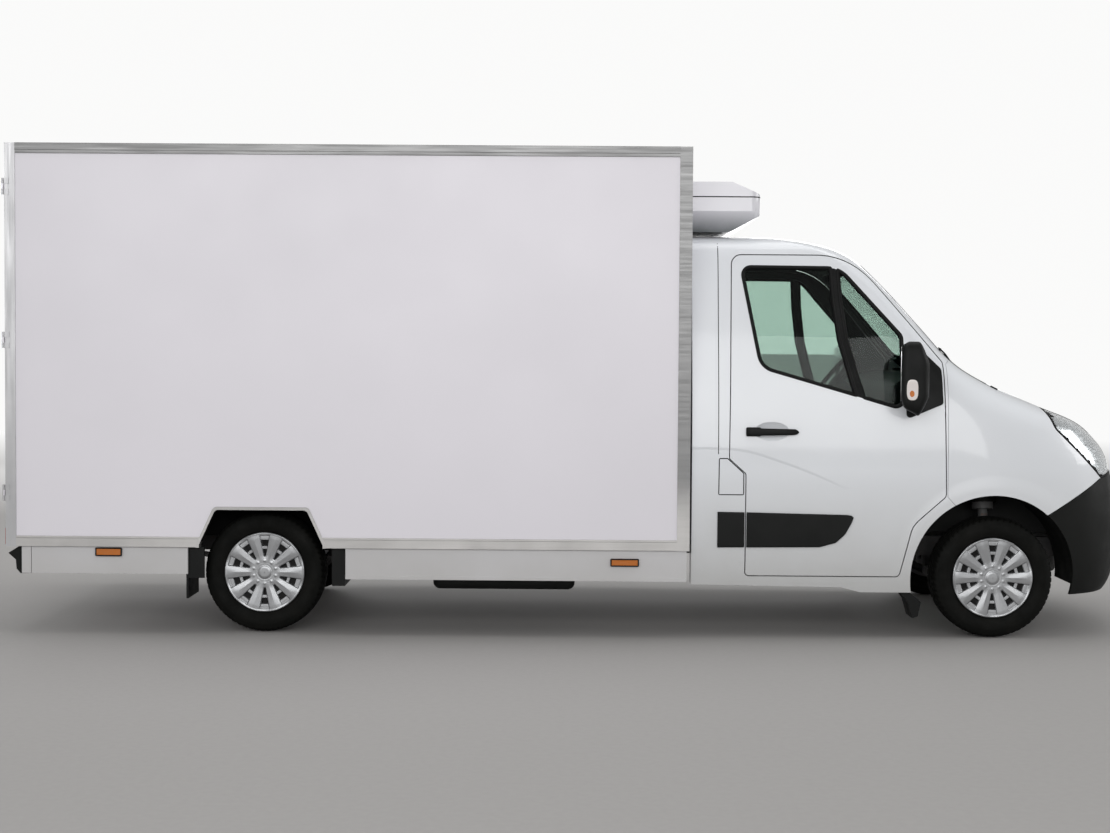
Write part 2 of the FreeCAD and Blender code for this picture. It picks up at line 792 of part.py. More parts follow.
def leaf_spring():
    """The left leaf spring: an arched main leaf, two shorter ones and its two hangers."""
    x = rear_axle_x
    seat = 262 + beam_size
    rise = 95.0
    reach = 640.0
    leaf = 12.0
    pieces = []
    for number, share in enumerate((1.0, 0.72, 0.45)):
        base = seat + leaf * (2 - number)
        half = reach * share
        lift = rise * share * share
        low = [V(x - half, 530, base + lift), V(x, 530, base), V(x + half, 530, base + lift)]
        high = [point + V(0, 0, leaf) for point in low]
        under = Part.Arc(*low).toShape()
        over = Part.Arc(*high).toShape()
        ends = [Part.makeLine(low[0], high[0]), Part.makeLine(low[2], high[2])]
        face = Part.Face(Part.Wire(Part.__sortEdges__([under, ends[1], over, ends[0]])))
        pieces.append(face.extrude(V(0, 60, 0)))
    top = seat + 2 * leaf + rise
    for end in (-reach, reach):
        rail_side = chassis_rail_y + chassis_rail_width / 2
        pieces.append(box(x + end - 35, x + end + 35, rail_side, 590, top - 5, chassis_top - 20))
    return pieces[0].fuse(pieces[1:]).removeSplitter()


def chassis_rails():
    inner_y = chassis_rail_y - chassis_rail_width / 2
    outer_y = chassis_rail_y + chassis_rail_width / 2
    start = box_rear + 140
    rail = box(start, ahead(chassis_front), inner_y, outer_y, chassis_bottom, chassis_top)
    hollow = box(start - 1, ahead(chassis_front) + 1, inner_y + chassis_wall, outer_y - chassis_wall,
                 chassis_bottom + chassis_wall, chassis_top - chassis_wall)
    return both_sides(rail.cut(hollow))


def crossmembers():
    inner_y = chassis_rail_y - chassis_rail_width / 2
    low = chassis_bottom + 30
    high = chassis_top - 10
    places = [
        box_rear + 200, rear_axle_x - 500, rear_axle_x + 520, rear_axle_x + 1350, ahead(-1850), ahead(-900),
    ]
    return Part.makeCompound([box(x, x + crossmember_width, -inner_y, inner_y, low, high) for x in places])


def engine_block():
    block = box(ahead(50), ahead(530), -320, 320, 300, 860)
    block = block.makeFillet(25, block.Edges)
    inner_y = chassis_rail_y - chassis_rail_width / 2
    mount = box(ahead(220), ahead(320), -inner_y, inner_y, 440, 490)
    return block.fuse(mount).removeSplitter()


def fuel_tank():
    tank = box(ahead(-3150), ahead(-2350), -960, -520, 250, 490)
    tank = tank.makeFillet(40, tank.Edges)
    straps = [box(ahead(x), ahead(x) + 40, -900, -580, 470, floor_bottom) for x in (-3000, -2540)]
    return tank.fuse(straps).removeSplitter()


def exhaust():
    """A straight pipe between the rails with its silencer and hangers."""
    height = 375.0
    y = 250.0
    start = ahead(-500)
    end = box_rear + 230
    pipe = cylinder(27, V(end, y, height), V(start, y, height))
    silencer = cylinder(75, V(ahead(-3000), y, height - 30), V(ahead(-2450), y, height - 30))
    hangers = [box(x + 20, x + 50, y - 10, y + 10, height, chassis_bottom + 30)
               for x in (rear_axle_x - 500, rear_axle_x + 520, ahead(-1850))]
    return pipe.fuse([silencer] + hangers).removeSplitter()


def rear_arch_outline(grow):
    """The rear arch in the box side, as corners seen from the side."""
    middle = -wheelbase
    foot = rear_arch_foot
    return [
        (middle - rear_arch_half - grow, foot - 200, 0), (middle - rear_arch_half - grow, foot + 55, 10),
        (middle - rear_arch_half + 90 - grow * 0.5, rear_arch_top + grow, 30),
        (middle + rear_arch_half - 90 + grow * 0.5, rear_arch_top + grow, 30),
        (middle + rear_arch_half + grow, foot + 55, 10), (middle + rear_arch_half + grow, foot - 200, 0),
    ]


def rear_arch_cut(grow=0.0):
    return side_prism(rear_arch_outline(grow), -1200, 1200)


def box_floor():
    """The insulated floor with a raised box over each rear wheel."""
    floor = box(box_rear + rear_post_depth, box_front - wall, -box_inner, box_inner, floor_bottom, floor_top)
    x = rear_axle_x
    half = wheel_box_half
    lid = box(x - half, x + half, wheel_box_inner_y, box_inner, floor_bottom, floor_bottom + wheel_box_height + 60)
    room = box(x - half + wheel_box_sheet, x + half - wheel_box_sheet, wheel_box_inner_y + wheel_box_sheet,
               box_inner + 1, floor_bottom - 1, floor_bottom + wheel_box_height + 60 - wheel_box_sheet)
    floor = floor.fuse([lid, mirrored(lid)])
    return floor.cut([room, mirrored(room)]).removeSplitter()


def box_sides():
    side = box(box_rear + rear_post_depth, box_front - wall, box_inner, box_side, floor_bottom, wall_top)
    side = side.cut(rear_arch_cut())
    return both_sides(side)


def box_roof():
    return box(box_rear + rear_post_depth, box_front, -box_side, box_side, wall_top, box_top)


def box_front_wall():
    return box(box_front - wall, box_front, -box_side, box_side, floor_bottom, wall_top)


def rail_profile(low, high, proud):
    """A rounded edge profile lying on the box side, as corners of (Y, Z, radius)."""
    return [(box_side, low, 0), (box_side + proud, low, 2), (box_side + proud, high, 2), (box_side, high, 0)]


def rail_along(low, high, proud):
    """A left edge profile between two heights, from the rear posts to the front post."""
    start = box_rear + rear_post_depth
    wire = rounded_wire(rail_profile(low, high, proud), lambda p: V(start, p.x, p.y))
    return Part.Face(wire).extrude(V(box_front - front_post - start, 0, 0))


def box_rails():
    """The aluminium edge profiles: top and bottom rails, arch trims and front posts."""
    start = box_rear + rear_post_depth
    length_end = box_front - front_post
    rail_top = rail_bottom + rail_height
    top = rail_along(wall_top + 2, box_top, rail_proud)
    band = rail_along(wall_top + 2 + rail_step, box_top, rail_proud + rail_lip_proud)
    lower = rail_along(rail_bottom, rail_top, rail_proud)
    lip = rail_along(rail_top - rail_lip, rail_top, rail_proud + rail_lip_proud)
    hook = box(start, length_end, box_inner, box_side, rail_bottom, floor_bottom)
    trim = side_prism(rear_arch_outline(arch_trim), box_side, box_side + rail_proud + rail_lip_proud)
    trim = trim.common(box(-9000, 9000, 0, 2000, rail_bottom, 2000))
    rail = lower.fuse([lip, hook, trim]).cut(rear_arch_cut()).removeSplitter()
    post = box(length_end, box_front, box_side, box_side + rail_proud, rail_bottom, box_top)
    post_foot = box(length_end, box_front, box_inner, box_side, rail_bottom, floor_bottom)
    post = post.fuse(post_foot).removeSplitter()
    return both_sides(Part.makeCompound([top.fuse(band).removeSplitter(), rail, post]))


def rear_frame():
    """The portal round the rear doors: two posts, a header and a sill."""
    outer_y = box_side + rail_proud
    outer = box(box_rear, box_rear + rear_post_depth, -outer_y, outer_y, rail_bottom, box_top)
    half = box_side - rear_post_width
    high = box_top - rear_header_height
    frame = outer.cut(box(box_rear - 1, box_rear + rear_post_depth + 1, -half, half, floor_top, high))
    knuckles = fixed_knuckles()
    return frame.fuse(knuckles + [mirrored(piece) for piece in knuckles]).removeSplitter()


def hinge_heights():
    low = floor_top + 180
    high = box_top - rear_header_height - 180
    return [low, 0.5 * (low + high), high]


def hinge_place(height):
    """A point on the left rear door's hinge axis."""
    return V(box_rear - hinge_offset, box_side + rail_proud + hinge_offset, height)


def hinge_barrel(low, high):
    return cylinder(hinge_radius, hinge_place(low), hinge_place(high))


def fixed_knuckles():
    """The upper and lower third of each left hinge, with its leaf on the post's outer face."""
    half = hinge_height / 2
    pieces = []
    for height in hinge_heights():
        thirds = [(height - 3 * half, height - half - seat_gap), (height + half + seat_gap, height + 3 * half)]
        for low, high in thirds:
            outer_y = box_side + rail_proud
            leaf = box(box_rear - hinge_offset, box_rear + 25, outer_y, outer_y + hinge_sheet, low, high)
            pieces += [hinge_barrel(low, high), leaf]
    return pieces


def rear_door():
    """The left rear door with its hinge straps, lock bar and handle."""
    half = box_side - rear_post_width
    low = floor_top + rear_door_gap
    high = box_top - rear_header_height - rear_door_gap
    face = box_rear - hinge_sheet
    leaf = box(face, box_rear + rear_post_depth - seat_gap, rear_door_gap, half - rear_door_gap, low, high)
    pieces = []
    for height in hinge_heights():
        z0 = height - hinge_height / 2
        z1 = height + hinge_height / 2
        pin = hinge_place(height)
        pieces += [hinge_barrel(z0, z1), box(face - hinge_sheet, face, pin.y - 330, pin.y, z0, z1)]
    bar_x = face - 4 - lock_bar_radius
    pieces.append(cylinder(lock_bar_radius, V(bar_x, lock_bar_y, low + 10), V(bar_x, lock_bar_y, high - 10)))
    for share in (0.04, 0.3, 0.6, 0.96):
        middle = low + share * (high - low)
        pieces.append(box(bar_x - 14, face, lock_bar_y - 22, lock_bar_y + 22, middle - 25, middle + 25))
    handle_z = low + 0.27 * (high - low)
    rear = box_rear - handle_proud
    pieces.append(box(rear, rear + 14, lock_bar_y - 8, lock_bar_y + 300, handle_z, handle_z + 25))
    pieces.append(box(rear, bar_x, lock_bar_y - 12, lock_bar_y + 12, handle_z - 10, handle_z + 35))
    return leaf.fuse(pieces).removeSplitter()


def side_skirts():
    """The panels under the box side, behind and ahead of the rear wheel."""
    y1 = skirt_y
    y0 = skirt_y - skirt_sheet
    rear = box(box_rear + 140, rear_axle_x - 411, y0, y1, skirt_bottom + 10, rail_bottom)
    front = box(rear_axle_x + 470, box_front - 15, y0, y1, skirt_bottom, rail_bottom)
    lip = box(rear_axle_x + 470, box_front - 15, y0, y1 + 6, skirt_bottom - 12, skirt_bottom + 6)
    end_cap = box(box_rear + 85, box_rear + 137, y0, y1, skirt_bottom + 10, rail_bottom)
    return both_sides(Part.makeCompound([rear, front.fuse(lip).removeSplitter(), end_cap]))


def mudguards():
    """Black guards at the rear wheels and flaps behind the front wheels."""
    pieces = []
    guards = [(-424, -324, -424, -412, 315, 200), (391, 464, 452, 464, 276, 276)]
    for start, end, flap_start, flap_end, bottom, foot in guards:
        side = box(rear_axle_x + start, rear_axle_x + end, 1025, 1045, bottom, rail_bottom)
        low = box(rear_axle_x + flap_start, rear_axle_x + flap_end, 760, 1045, foot, rail_bottom)
        high = box(rear_axle_x + flap_start, rear_axle_x + flap_end, 760, box_inner, rail_bottom, floor_bottom)
        pieces.append(side.fuse([low, high]).removeSplitter())
    flap_corners = [(-520, 258), (-470, 258), (-404, 202), (-420, 122), (-453, 111), (-478, 200)]
    pieces.append(side_prism(flap_corners, 800, 985))
    return both_sides(Part.makeCompound(pieces))


def marker_lamps():
    rear = box(rear_axle_x - 920, rear_axle_x - 780, skirt_y, skirt_y + 14, 442, 482)
    front = box(ahead(-2149), ahead(-1998), skirt_y, skirt_y + 14, 405, 441)
    return both_sides(Part.makeCompound([rear, front]))


def rear_bumper():
    """The black step bumper below the doors, one section across the truck."""
    x = box_rear
    corners = [(x + 68, 490), (x + 88, 470), (x + 112, 392), (x + 148, 348), (x + 140, 336),
               (x + 68, 334), (x + 46, 360), (x + 42, 410), (x, 448)]
    points = [V(px, -1040, pz) for px, pz in corners]
    bar = Part.Face(Part.makePolygon(points + points[:1])).extrude(V(0, 2080, 0))
    brackets = [box(x + 80, x + 140, y - 35, y + 35, 360, chassis_top - 15)
                for y in (-chassis_rail_y, chassis_rail_y)]
    return bar.fuse(brackets).removeSplitter()


def rear_lamps():
    """Two lamp units on the sill under the doors."""
    lamp = box(box_rear - 10, box_rear, 800, 1060, rail_bottom + 10, floor_top - 20)
    return both_sides(lamp)


refrigeration_outline = [
    (-1714, 2290, 0), (-1470, 2290, 60), (-1292, 2385, 40), (-1285, 2478, 10),
    (-1300, 2502, 15), (-1462, 2572, 25), (-1714, 2572, 0),
]
refrigeration_half_width = 720.0


def refrigeration_unit():
    """The unit on the box front: a housing and its cover, with a groove where they meet."""
    half = refrigeration_half_width
    shift = box_front - ahead(-1714)
    housing = side_prism(refrigeration_outline, -half, half)
    corners = [(-1714, -half, 0), (-1300, -half, 60), (-1280, 0, 0), (-1300, half, 60), (-1714, half, 0)]
    housing = housing.common(plan_prism(corners, 2200, 2700))
    ring = box(ahead(-1800), ahead(-1200), -half - 10, half + 10, 2484, 2489)
    core = box(ahead(-1800), ahead(-1293), -half + 8, half - 8, 2484, 2489)
    housing = housing.cut(ring.cut(core))
    slats = [box(ahead(-1310), ahead(-1200), -480, 480, z, z + 9) for z in (2396, 2414, 2432, 2450)]
    housing = housing.cut(slats)
    housing.translate(V(shift, 0, 0))
    return biggest(housing)


def evaporator():
    unit = box(box_front - wall - 420, box_front - wall, -520, 520, wall_top - 210, wall_top)
    edges = [edge for edge in unit.Edges if abs(edge.CenterOfMass.z - (wall_top - 210)) < 1]
    return unit.makeFillet(40, edges)


def dashboard():
    """The dashboard across the cab with the steering column."""
    corners = [(-640, 900, 40), (-560, 1430, 70), (-330, 1500, 30), (-330, 760, 0), (-560, 760, 40)]
    dash = side_prism(corners, -915, 915).common(form(pillar_depth + 10))
    return dash.fuse(column(0, 250, 30)).removeSplitter()


steering_centre = (-830.0, -420.0, 1455.0)
steering_tilt = 40.0


def column_point(distance):
    """A point on the steering column, ahead of the wheel's centre by distance."""
    x, y, z = steering_centre
    tilt = math.radians(steering_tilt)
    return V(ahead(x + distance * math.cos(tilt)), y, z - distance * math.sin(tilt))


def column(start, end, radius):
    return cylinder(radius, column_point(60 + start), column_point(60 + end + 120))


def steering_wheel():
    """A rim on three spokes round a boss."""
    centre = column_point(0)
    axis = column_point(0) - column_point(1)
    rim = Part.makeTorus(190, 14, centre, axis)
    boss = cylinder(62, column_point(50), column_point(10))
    shaft = cylinder(22, column_point(60 - seat_gap), column_point(20))
    across = V(0, 1, 0)
    up = axis.cross(across)
    spokes = []
    for angle in (90, 205, 335):
        turn = math.radians(angle)
        direction = across * math.cos(turn) + up * math.sin(turn)
        spokes.append(cylinder(13, column_point(28) + direction * 40, column_point(4) + direction * 188))
    return rim.fuse([boss, shaft] + spokes).removeSplitter()


def seat(y0, y1, places):
    """A seat or bench: base, cushion and back, with a head rest over each place."""
    base = box(ahead(-1460), ahead(-1020), y0 + 30, y1 - 30, chassis_top + cab_floor_sheet, 800)
    cushion_points = [(-1500, 800, 0), (-1500, 900, 60), (-960, 960, 70), (-960, 800, 40)]
    cushion = side_prism(cushion_points, y0, y1)
    back_points = [(-1490, 820, 0), (-1640, 1500, 50), (-1530, 1530, 60), (-1350, 860, 60)]
    back = side_prism(back_points, y0, y1)
    rests = []
    for y in places:
        rest = box(ahead(-1650), ahead(-1560), y - 130, y + 130, 1560, 1760)
        rest = rest.makeFillet(35, rest.Edges)
        post = box(ahead(-1612), ahead(-1597), y - 60, y + 60, 1480, 1600)
        rests += [rest, post]
    return base.fuse([cushion, back] + rests).removeSplitter()


def cab_seats():
    driver = seat(-690, -180, [-435])
    bench = seat(-120, 780, [110, 560])
    return Part.makeCompound([driver, bench])


mirror_outline = [(-524, 1645, 20), (-470, 1668, 20), (-306, 1512, 30), (-300, 1317, 20), (-505, 1231, 20)]


def mirror():
    """The left mirror: a plate on the door, an arm and the tall housing."""
    plate = form(-8).common(left_side(mirror_outline)).cut(form(0))
    housing = box(ahead(-500), ahead(-345), 1040, 1262, 1242, 1662)
    housing = housing.makeFillet(45, housing.Edges)
    arm = box(ahead(-480), ahead(-400), 930, 1080, 1330, 1420).cut(form(0))
    return biggest(biggest(plate).fuse([housing, biggest(arm)]))


def all_parts():
    """Every piece of the truck by name."""
    parts = {}
    parts["cab_shell"] = cab_shell()
    parts["front_wings"] = front_wings()
    parts["front_bumper"] = front_bumper()
    parts["front_grilles"] = Part.makeCompound([upper_grille()] + lower_grille().Solids)
    parts["headlamps"] = headlamps()
    parts["windscreen"] = windscreen()
    parts["cowl"] = cowl()
    parts["front_carrier"] = front_carrier()
    parts["arch_liners"] = arch_liners()
    parts["dashboard"] = dashboard()
    parts["cab_seats"] = cab_seats()
    parts["steering_wheel"] = steering_wheel()
    parts["bonnet"] = bonnet()
    parts["fuel_flap"] = fuel_flap()
    for name, make in (("cab_door", cab_door), ("door_glass", door_glass), ("mirror", mirror),
                       ("knuckle", knuckle), ("rear_door", rear_door)):
        left = make()
        parts[name + "_left"] = left
        parts[name + "_right"] = mirrored(left)
    tyre = tyre_shape()
    wheel = wheel_shape()
    for end, x, track in (("front", front_axle_x, front_track), ("rear", rear_axle_x, rear_track)):
        for side, sign in (("left", 1), ("right", -1)):
            turned = wheel if sign > 0 else mirrored(wheel)
            parts["tyre_%s_%s" % (end, side)] = placed_wheel(tyre, x, sign * track / 2)
            parts["wheel_%s_%s" % (end, side)] = placed_wheel(turned, x, sign * track / 2)
    parts["front_subframe"] = front_subframe()
    parts["rear_axle"] = rear_axle()
    parts["leaf_springs"] = both_sides(leaf_spring())
    parts["chassis_rails"] = chassis_rails()
    parts["crossmembers"] = crossmembers()
    parts["engine_block"] = engine_block()
    parts["fuel_tank"] = fuel_tank()
    parts["exhaust"] = exhaust()
    parts["box_floor"] = box_floor()
    parts["box_sides"] = box_sides()
    parts["box_roof"] = box_roof()
    parts["box_front_wall"] = box_front_wall()
    parts["box_rails"] = box_rails()
    parts["rear_frame"] = rear_frame()
    parts["side_skirts"] = side_skirts()
    parts["mudguards"] = mudguards()
    parts["marker_lamps"] = marker_lamps()
    parts["rear_bumper"] = rear_bumper()
    parts["rear_lamps"] = rear_lamps()
    parts["refrigeration_unit"] = refrigeration_unit()
    parts["evaporator"] = evaporator()
    return parts


def main():
    os.makedirs("parts", exist_ok=True)
    for name, shape in all_parts().items():
        shape.exportStep("parts/%s.step" % name)


main()
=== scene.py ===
import math

import bmesh
import bpy
import numpy as np
from mathutils import Matrix, Vector
from mathutils.bvhtree import BVHTree


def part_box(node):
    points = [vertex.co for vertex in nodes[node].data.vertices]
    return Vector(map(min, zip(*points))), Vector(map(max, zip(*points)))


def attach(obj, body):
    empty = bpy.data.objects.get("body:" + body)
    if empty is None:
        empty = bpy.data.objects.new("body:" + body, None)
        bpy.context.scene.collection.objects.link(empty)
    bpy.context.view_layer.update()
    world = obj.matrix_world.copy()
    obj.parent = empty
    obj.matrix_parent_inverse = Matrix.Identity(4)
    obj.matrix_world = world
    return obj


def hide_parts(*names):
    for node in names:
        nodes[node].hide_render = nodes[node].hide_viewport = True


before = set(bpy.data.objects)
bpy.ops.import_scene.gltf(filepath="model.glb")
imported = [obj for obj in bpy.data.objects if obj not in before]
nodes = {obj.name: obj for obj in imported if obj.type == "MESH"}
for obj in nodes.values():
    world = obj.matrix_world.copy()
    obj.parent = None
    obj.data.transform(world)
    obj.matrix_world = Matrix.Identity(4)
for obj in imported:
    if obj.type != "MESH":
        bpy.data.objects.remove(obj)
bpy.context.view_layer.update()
print("frame loaded:", len(nodes), "nodes")

# places read from the frame, in metres: X forward, Y to the left, Z up
sides = {"left": 1, "right": -1}
rearPostDepth = 0.058
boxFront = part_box("box_rails")[1].x
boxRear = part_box("rear_frame")[1].x - rearPostDepth
wheelPlaces = {}
for end in ("front", "rear"):
    tyreLow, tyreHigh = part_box("tyre_%s_left" % end)
    for sideName, side in sides.items():
        wheelPlaces[end + "_" + sideName] = ((tyreLow.x + tyreHigh.x) / 2,
                                             side * (tyreLow.y + tyreHigh.y) / 2, side)
frontAxleX, rearAxleX = wheelPlaces["front_left"][0], wheelPlaces["rear_left"][0]
forward, backward, upward, downward = (1.0, 0.0, 0.0), (-1.0, 0.0, 0.0), (0.0, 0.0, 1.0), (0.0, 0.0, -1.0)


def ahead(distance):
    # distance in metres from the front axle, forward
    return frontAxleX + distance


# camera

photoCamera = {
    "fromAxle": -2.40840532, "away": -11.0649787, "height": 1.61150434, "yaw": -0.00584659,
    "pitch": -0.03770900,
    "roll": 0.00695179, "focalPixels": 1800.0, "imageWidth": 1110.0, "sensor": 36.0, "farthest": 200.0,
}


def placeCamera(spec):
    # forward = (sin yaw cos pitch, cos yaw cos pitch, sin pitch), and the frame is rolled about it
    yaw, pitch, roll = spec["yaw"], spec["pitch"], spec["roll"]
    view = Vector((math.sin(yaw) * math.cos(pitch), math.cos(yaw) * math.cos(pitch), math.sin(pitch)))
    right = Vector((math.cos(yaw), -math.sin(yaw), 0.0))
    up = right.cross(view)
    across = right * math.cos(roll) + up * math.sin(roll)
    upright = up * math.cos(roll) - right * math.sin(roll)
    data = bpy.data.cameras.new("photoCamera")
    data.sensor_width = spec["sensor"]
    data.lens = spec["focalPixels"] / spec["imageWidth"] * spec["sensor"]
    data.clip_end = spec["farthest"]
    columns = Matrix((across, upright, -view)).transposed().to_4x4()
    place = Vector((ahead(spec["fromAxle"]), spec["away"], spec["height"]))
    camera = newPiece("photoCamera", data)
    camera.matrix_world = Matrix.Translation(place) @ columns
    bpy.context.scene.camera = camera


def newPiece(name, data):
    piece = bpy.data.objects.new(name, data)
    bpy.context.scene.collection.objects.link(piece)
    return piece


placeCamera(photoCamera)
print("camera placed")


# material helpers; a finish is a material with its node tree and its shader

def newFinish(name, colour, roughness, metallic=0.0, sockets=None):
    material = bpy.data.materials.new(name)
    material.use_nodes = True
    shader = material.node_tree.nodes["Principled BSDF"]
    values = {"Base Color": (*colour, 1.0), "Roughness": roughness, "Metallic": metallic, **(sockets or {})}
    for label, value in values.items():
        shader.inputs[label].default_value = value
    material.diffuse_color = (*colour, 1.0)
    return {"material": material, "tree": material.node_tree, "shader": shader}


def addNode(finish, kind, inputs=None, **settings):
    node = finish["tree"].nodes.new("ShaderNode" + kind)
    for label, value in settings.items():
        setattr(node, label, value)
    for label, value in (inputs or {}).items():
        if isinstance(value, bpy.types.NodeSocket):
            finish["tree"].links.new(value, node.inputs[label])
        else:
            node.inputs[label].default_value = value
    return node


def feed(finish, sources):
    for label, source in sources.items():
        finish["tree"].links.new(source, finish["shader"].inputs[label])


def objectPlace(finish, stretch=None):
    coords = addNode(finish, "TexCoord").outputs["Object"]
    if stretch is None:
        return coords
    return addNode(finish, "Mapping", {"Vector": coords, "Scale": stretch}).outputs["Vector"]


def split(finish):
    # the X, Y and Z of a place as sockets
    return addNode(finish, "SeparateXYZ", {"Vector": objectPlace(finish)}).outputs


def noise(finish, scale, detail, stretch=None):
    inputs = {"Vector": objectPlace(finish, stretch), "Scale": scale, "Detail": detail}
    return addNode(finish, "TexNoise", inputs).outputs["Fac"]


def levels(finish, source, low, high, outLow=0.0, outHigh=1.0, blend="LINEAR"):
    inputs = {"Value": source, "From Min": low, "From Max": high, "To Min": outLow, "To Max": outHigh}
    return addNode(finish, "MapRange", inputs, interpolation_type=blend).outputs["Result"]


def clouds(finish, scale, detail, to=(0.0, 1.0), within=(0.3, 0.7)):
    # noise whose values within one range are spread to another
    return levels(finish, noise(finish, scale, detail), *within, *to)


def calculate(finish, operation, first, second):
    return addNode(finish, "Math", {0: first, 1: second}, operation=operation).outputs["Value"]


def blendColours(finish, share, first, second):
    inputs = {0: share}
    for index, colour in ((6, first), (7, second)):
        inputs[index] = colour if isinstance(colour, bpy.types.NodeSocket) else (*colour, 1.0)
    return addNode(finish, "Mix", inputs, data_type="RGBA").outputs[2]


def scaled(colour, factor):
    return tuple(min(1.0, value * factor) for value in colour)


def setBump(finish, height, distance, strength):
    bump = addNode(finish, "Bump", {"Height": height, "Distance": distance, "Strength": strength})
    feed(finish, {"Normal": bump.outputs["Normal"]})
    return bump


def mixShader(finish, share, second):
    # the surface shows a share of a second shader over its own
    mix = addNode(finish, "MixShader", {0: share, 1: finish["shader"].outputs["BSDF"], 2: second})
    finish["tree"].links.new(mix.outputs["Shader"],
                             finish["tree"].nodes["Material Output"].inputs["Surface"])


creaseSpec = {
    "line": [(-1.713, 1.060), (-1.556, 1.060), (-1.406, 1.048), (-1.199, 0.988), (-1.014, 0.919),
             (-0.846, 0.845)],
    "base": 0.5, "half": 0.007, "fade": (-1.05, -0.80), "archMiddle": 0.34, "flare": (0.50, 0.585),
    "flareSteps": 2.2,
    "height": 0.003,
}


def pressedLines(finish, spec):
    # height of the pressed side: a step along the crease z = curve(x) that fades out forward,
    # and a flare round the front arch that falls off between two radii
    place, base = split(finish), spec["base"]
    (start, startZ), (end, endZ) = spec["line"][0], spec["line"][-1]
    curve = addNode(finish, "FloatCurve", {"Value": levels(finish, place["X"], ahead(start), ahead(end))})
    points = curve.mapping.curves[0].points
    points[0].location, points[-1].location = (0.0, startZ - base), (1.0, endZ - base)
    for x, z in spec["line"][1:-1]:
        points.new((x - start) / (end - start), z - base)
    curve.mapping.update()
    above = calculate(finish, "SUBTRACT", calculate(finish, "SUBTRACT", place["Z"], base),
                      curve.outputs["Value"])
    step = levels(finish, above, -spec["half"], spec["half"])
    fadeFrom, fadeTo = spec["fade"]
    crease = calculate(finish, "MULTIPLY", step,
                       levels(finish, place["X"], ahead(fadeFrom), ahead(fadeTo), 1.0, 0.0))
    fromWheel = addNode(finish, "CombineXYZ", {
        "X": calculate(finish, "SUBTRACT", place["X"], frontAxleX),
        "Z": calculate(finish, "SUBTRACT", place["Z"], spec["archMiddle"])}).outputs["Vector"]
    reach = addNode(finish, "VectorMath", {0: fromWheel}, operation="LENGTH").outputs["Value"]
    flare = levels(finish, reach, *spec["flare"], spec["flareSteps"], 0.0, "SMOOTHSTEP")
    return calculate(finish, "ADD", crease, flare)


def paintFinish(name, colour, dusty, pressed=False):
    # gloss paint: faint orange peel, slightly uneven gloss and a trace of dust from 0.95 m down to 0.25 m
    finish = newFinish(name, colour, 0.3, sockets={"Coat Weight": 0.6, "Coat Roughness": 0.06})
    dust = calculate(finish, "MULTIPLY", levels(finish, split(finish)["Z"], 0.95, 0.25),
                     clouds(finish, 3.0, 4.0, to=(0.75, 1.0)))
    feed(finish, {"Base Color": blendColours(finish, dust, colour, dusty),
                  "Roughness": clouds(finish, 6.0, 3.0, to=(0.29, 0.33))})
    peel = setBump(finish, noise(finish, 260.0, 1.0), distance=0.0002, strength=0.12)
    if pressed:
        inputs = {"Height": pressedLines(finish, creaseSpec), "Distance": creaseSpec["height"],
                  "Strength": 1.0}
        press = addNode(finish, "Bump", inputs)
        finish["tree"].links.new(press.outputs["Normal"], peel.inputs["Normal"])
    return finish


def unitFinish():
    # white housing whose lowest 10 cm turn grey with painted shade under the sloping underside
    finish = paintFinish("unitShell", (0.68, 0.675, 0.71), (0.6, 0.6, 0.62))
    # painted shade: the colour darkens towards (0.13, 0.145, 0.145) from 2.405 m down to 2.30 m, broken a
    # little by clouds
    low = levels(finish, split(finish)["Z"], 2.405, 2.30)
    paintedUndersideShade = calculate(finish, "MULTIPLY", low, clouds(finish, 9.0, 4.0, to=(0.8, 1.0), within=(0.25, 0.7)))
    feed(finish, {"Base Color": blendColours(finish, paintedUndersideShade, (0.66, 0.655, 0.69), (0.13, 0.145, 0.145))})
    return finish


def plasticFinish(name, colour, roughness, grain):
    # moulded plastic: leather-like grain from cells, paler where it is worn by weather
    finish = newFinish(name, colour, roughness, sockets={"Specular IOR Level": 0.16})
    cells = addNode(finish, "TexVoronoi", {"Vector": objectPlace(finish), "Scale": 420.0})
    weather = clouds(finish, 5.0, 4.0, to=(0.0, 0.5), within=(0.35, 0.75))
    faded = tuple(min(1.0, value * 1.5 + 0.002) for value in colour)
    feed(finish, {"Base Color": blendColours(finish, weather, colour, faded),
                  "Roughness": clouds(finish, 9.0, 3.0, to=(roughness - 0.06, roughness + 0.08))})
    setBump(finish, cells.outputs["Distance"], distance=0.0004, strength=grain)
    return finish


def metalFinish(name, colour, roughness, stretch, grain, aloft=None):
    # drawn or rolled metal: fine lines along the drawing direction, cloudy gloss, and, where it is given, a
    # darker colour from 0.9 m up that is painted shade on the higher rails
    finish = newFinish(name, colour, roughness, 1.0)
    lines = noise(finish, 60.0, 3.0, stretch)
    metal = blendColours(finish, clouds(finish, 4.0, 4.0), colour, scaled(colour, 0.82))
    if aloft:
        metal = blendColours(finish, levels(finish, split(finish)["Z"], 0.66, 0.9), metal, aloft)
    feed(finish, {"Base Color": metal,
                  "Roughness": levels(finish, lines, 0.3, 0.7, roughness - 0.08, roughness + 0.1)})
    setBump(finish, lines, distance=0.0002, strength=grain)
    return finish


def boxSkinFinish():
    # insulated panel skin: satin gel coat, very slow waviness and faint cloudy shading
    finish = newFinish("boxSkin", (0.76, 0.735, 0.785), 0.42,
                       sockets={"Coat Weight": 0.15, "Coat Roughness": 0.3})
    cloud = clouds(finish, 0.55, 3.0, within=(0.3, 0.75))
    feed(finish, {"Base Color": blendColours(finish, cloud, (0.775, 0.75, 0.8), (0.72, 0.70, 0.745)),
                  "Roughness": clouds(finish, 2.5, 4.0, to=(0.36, 0.5))})
    setBump(finish, noise(finish, 1.6, 1.0), distance=0.004, strength=0.12)
    return finish


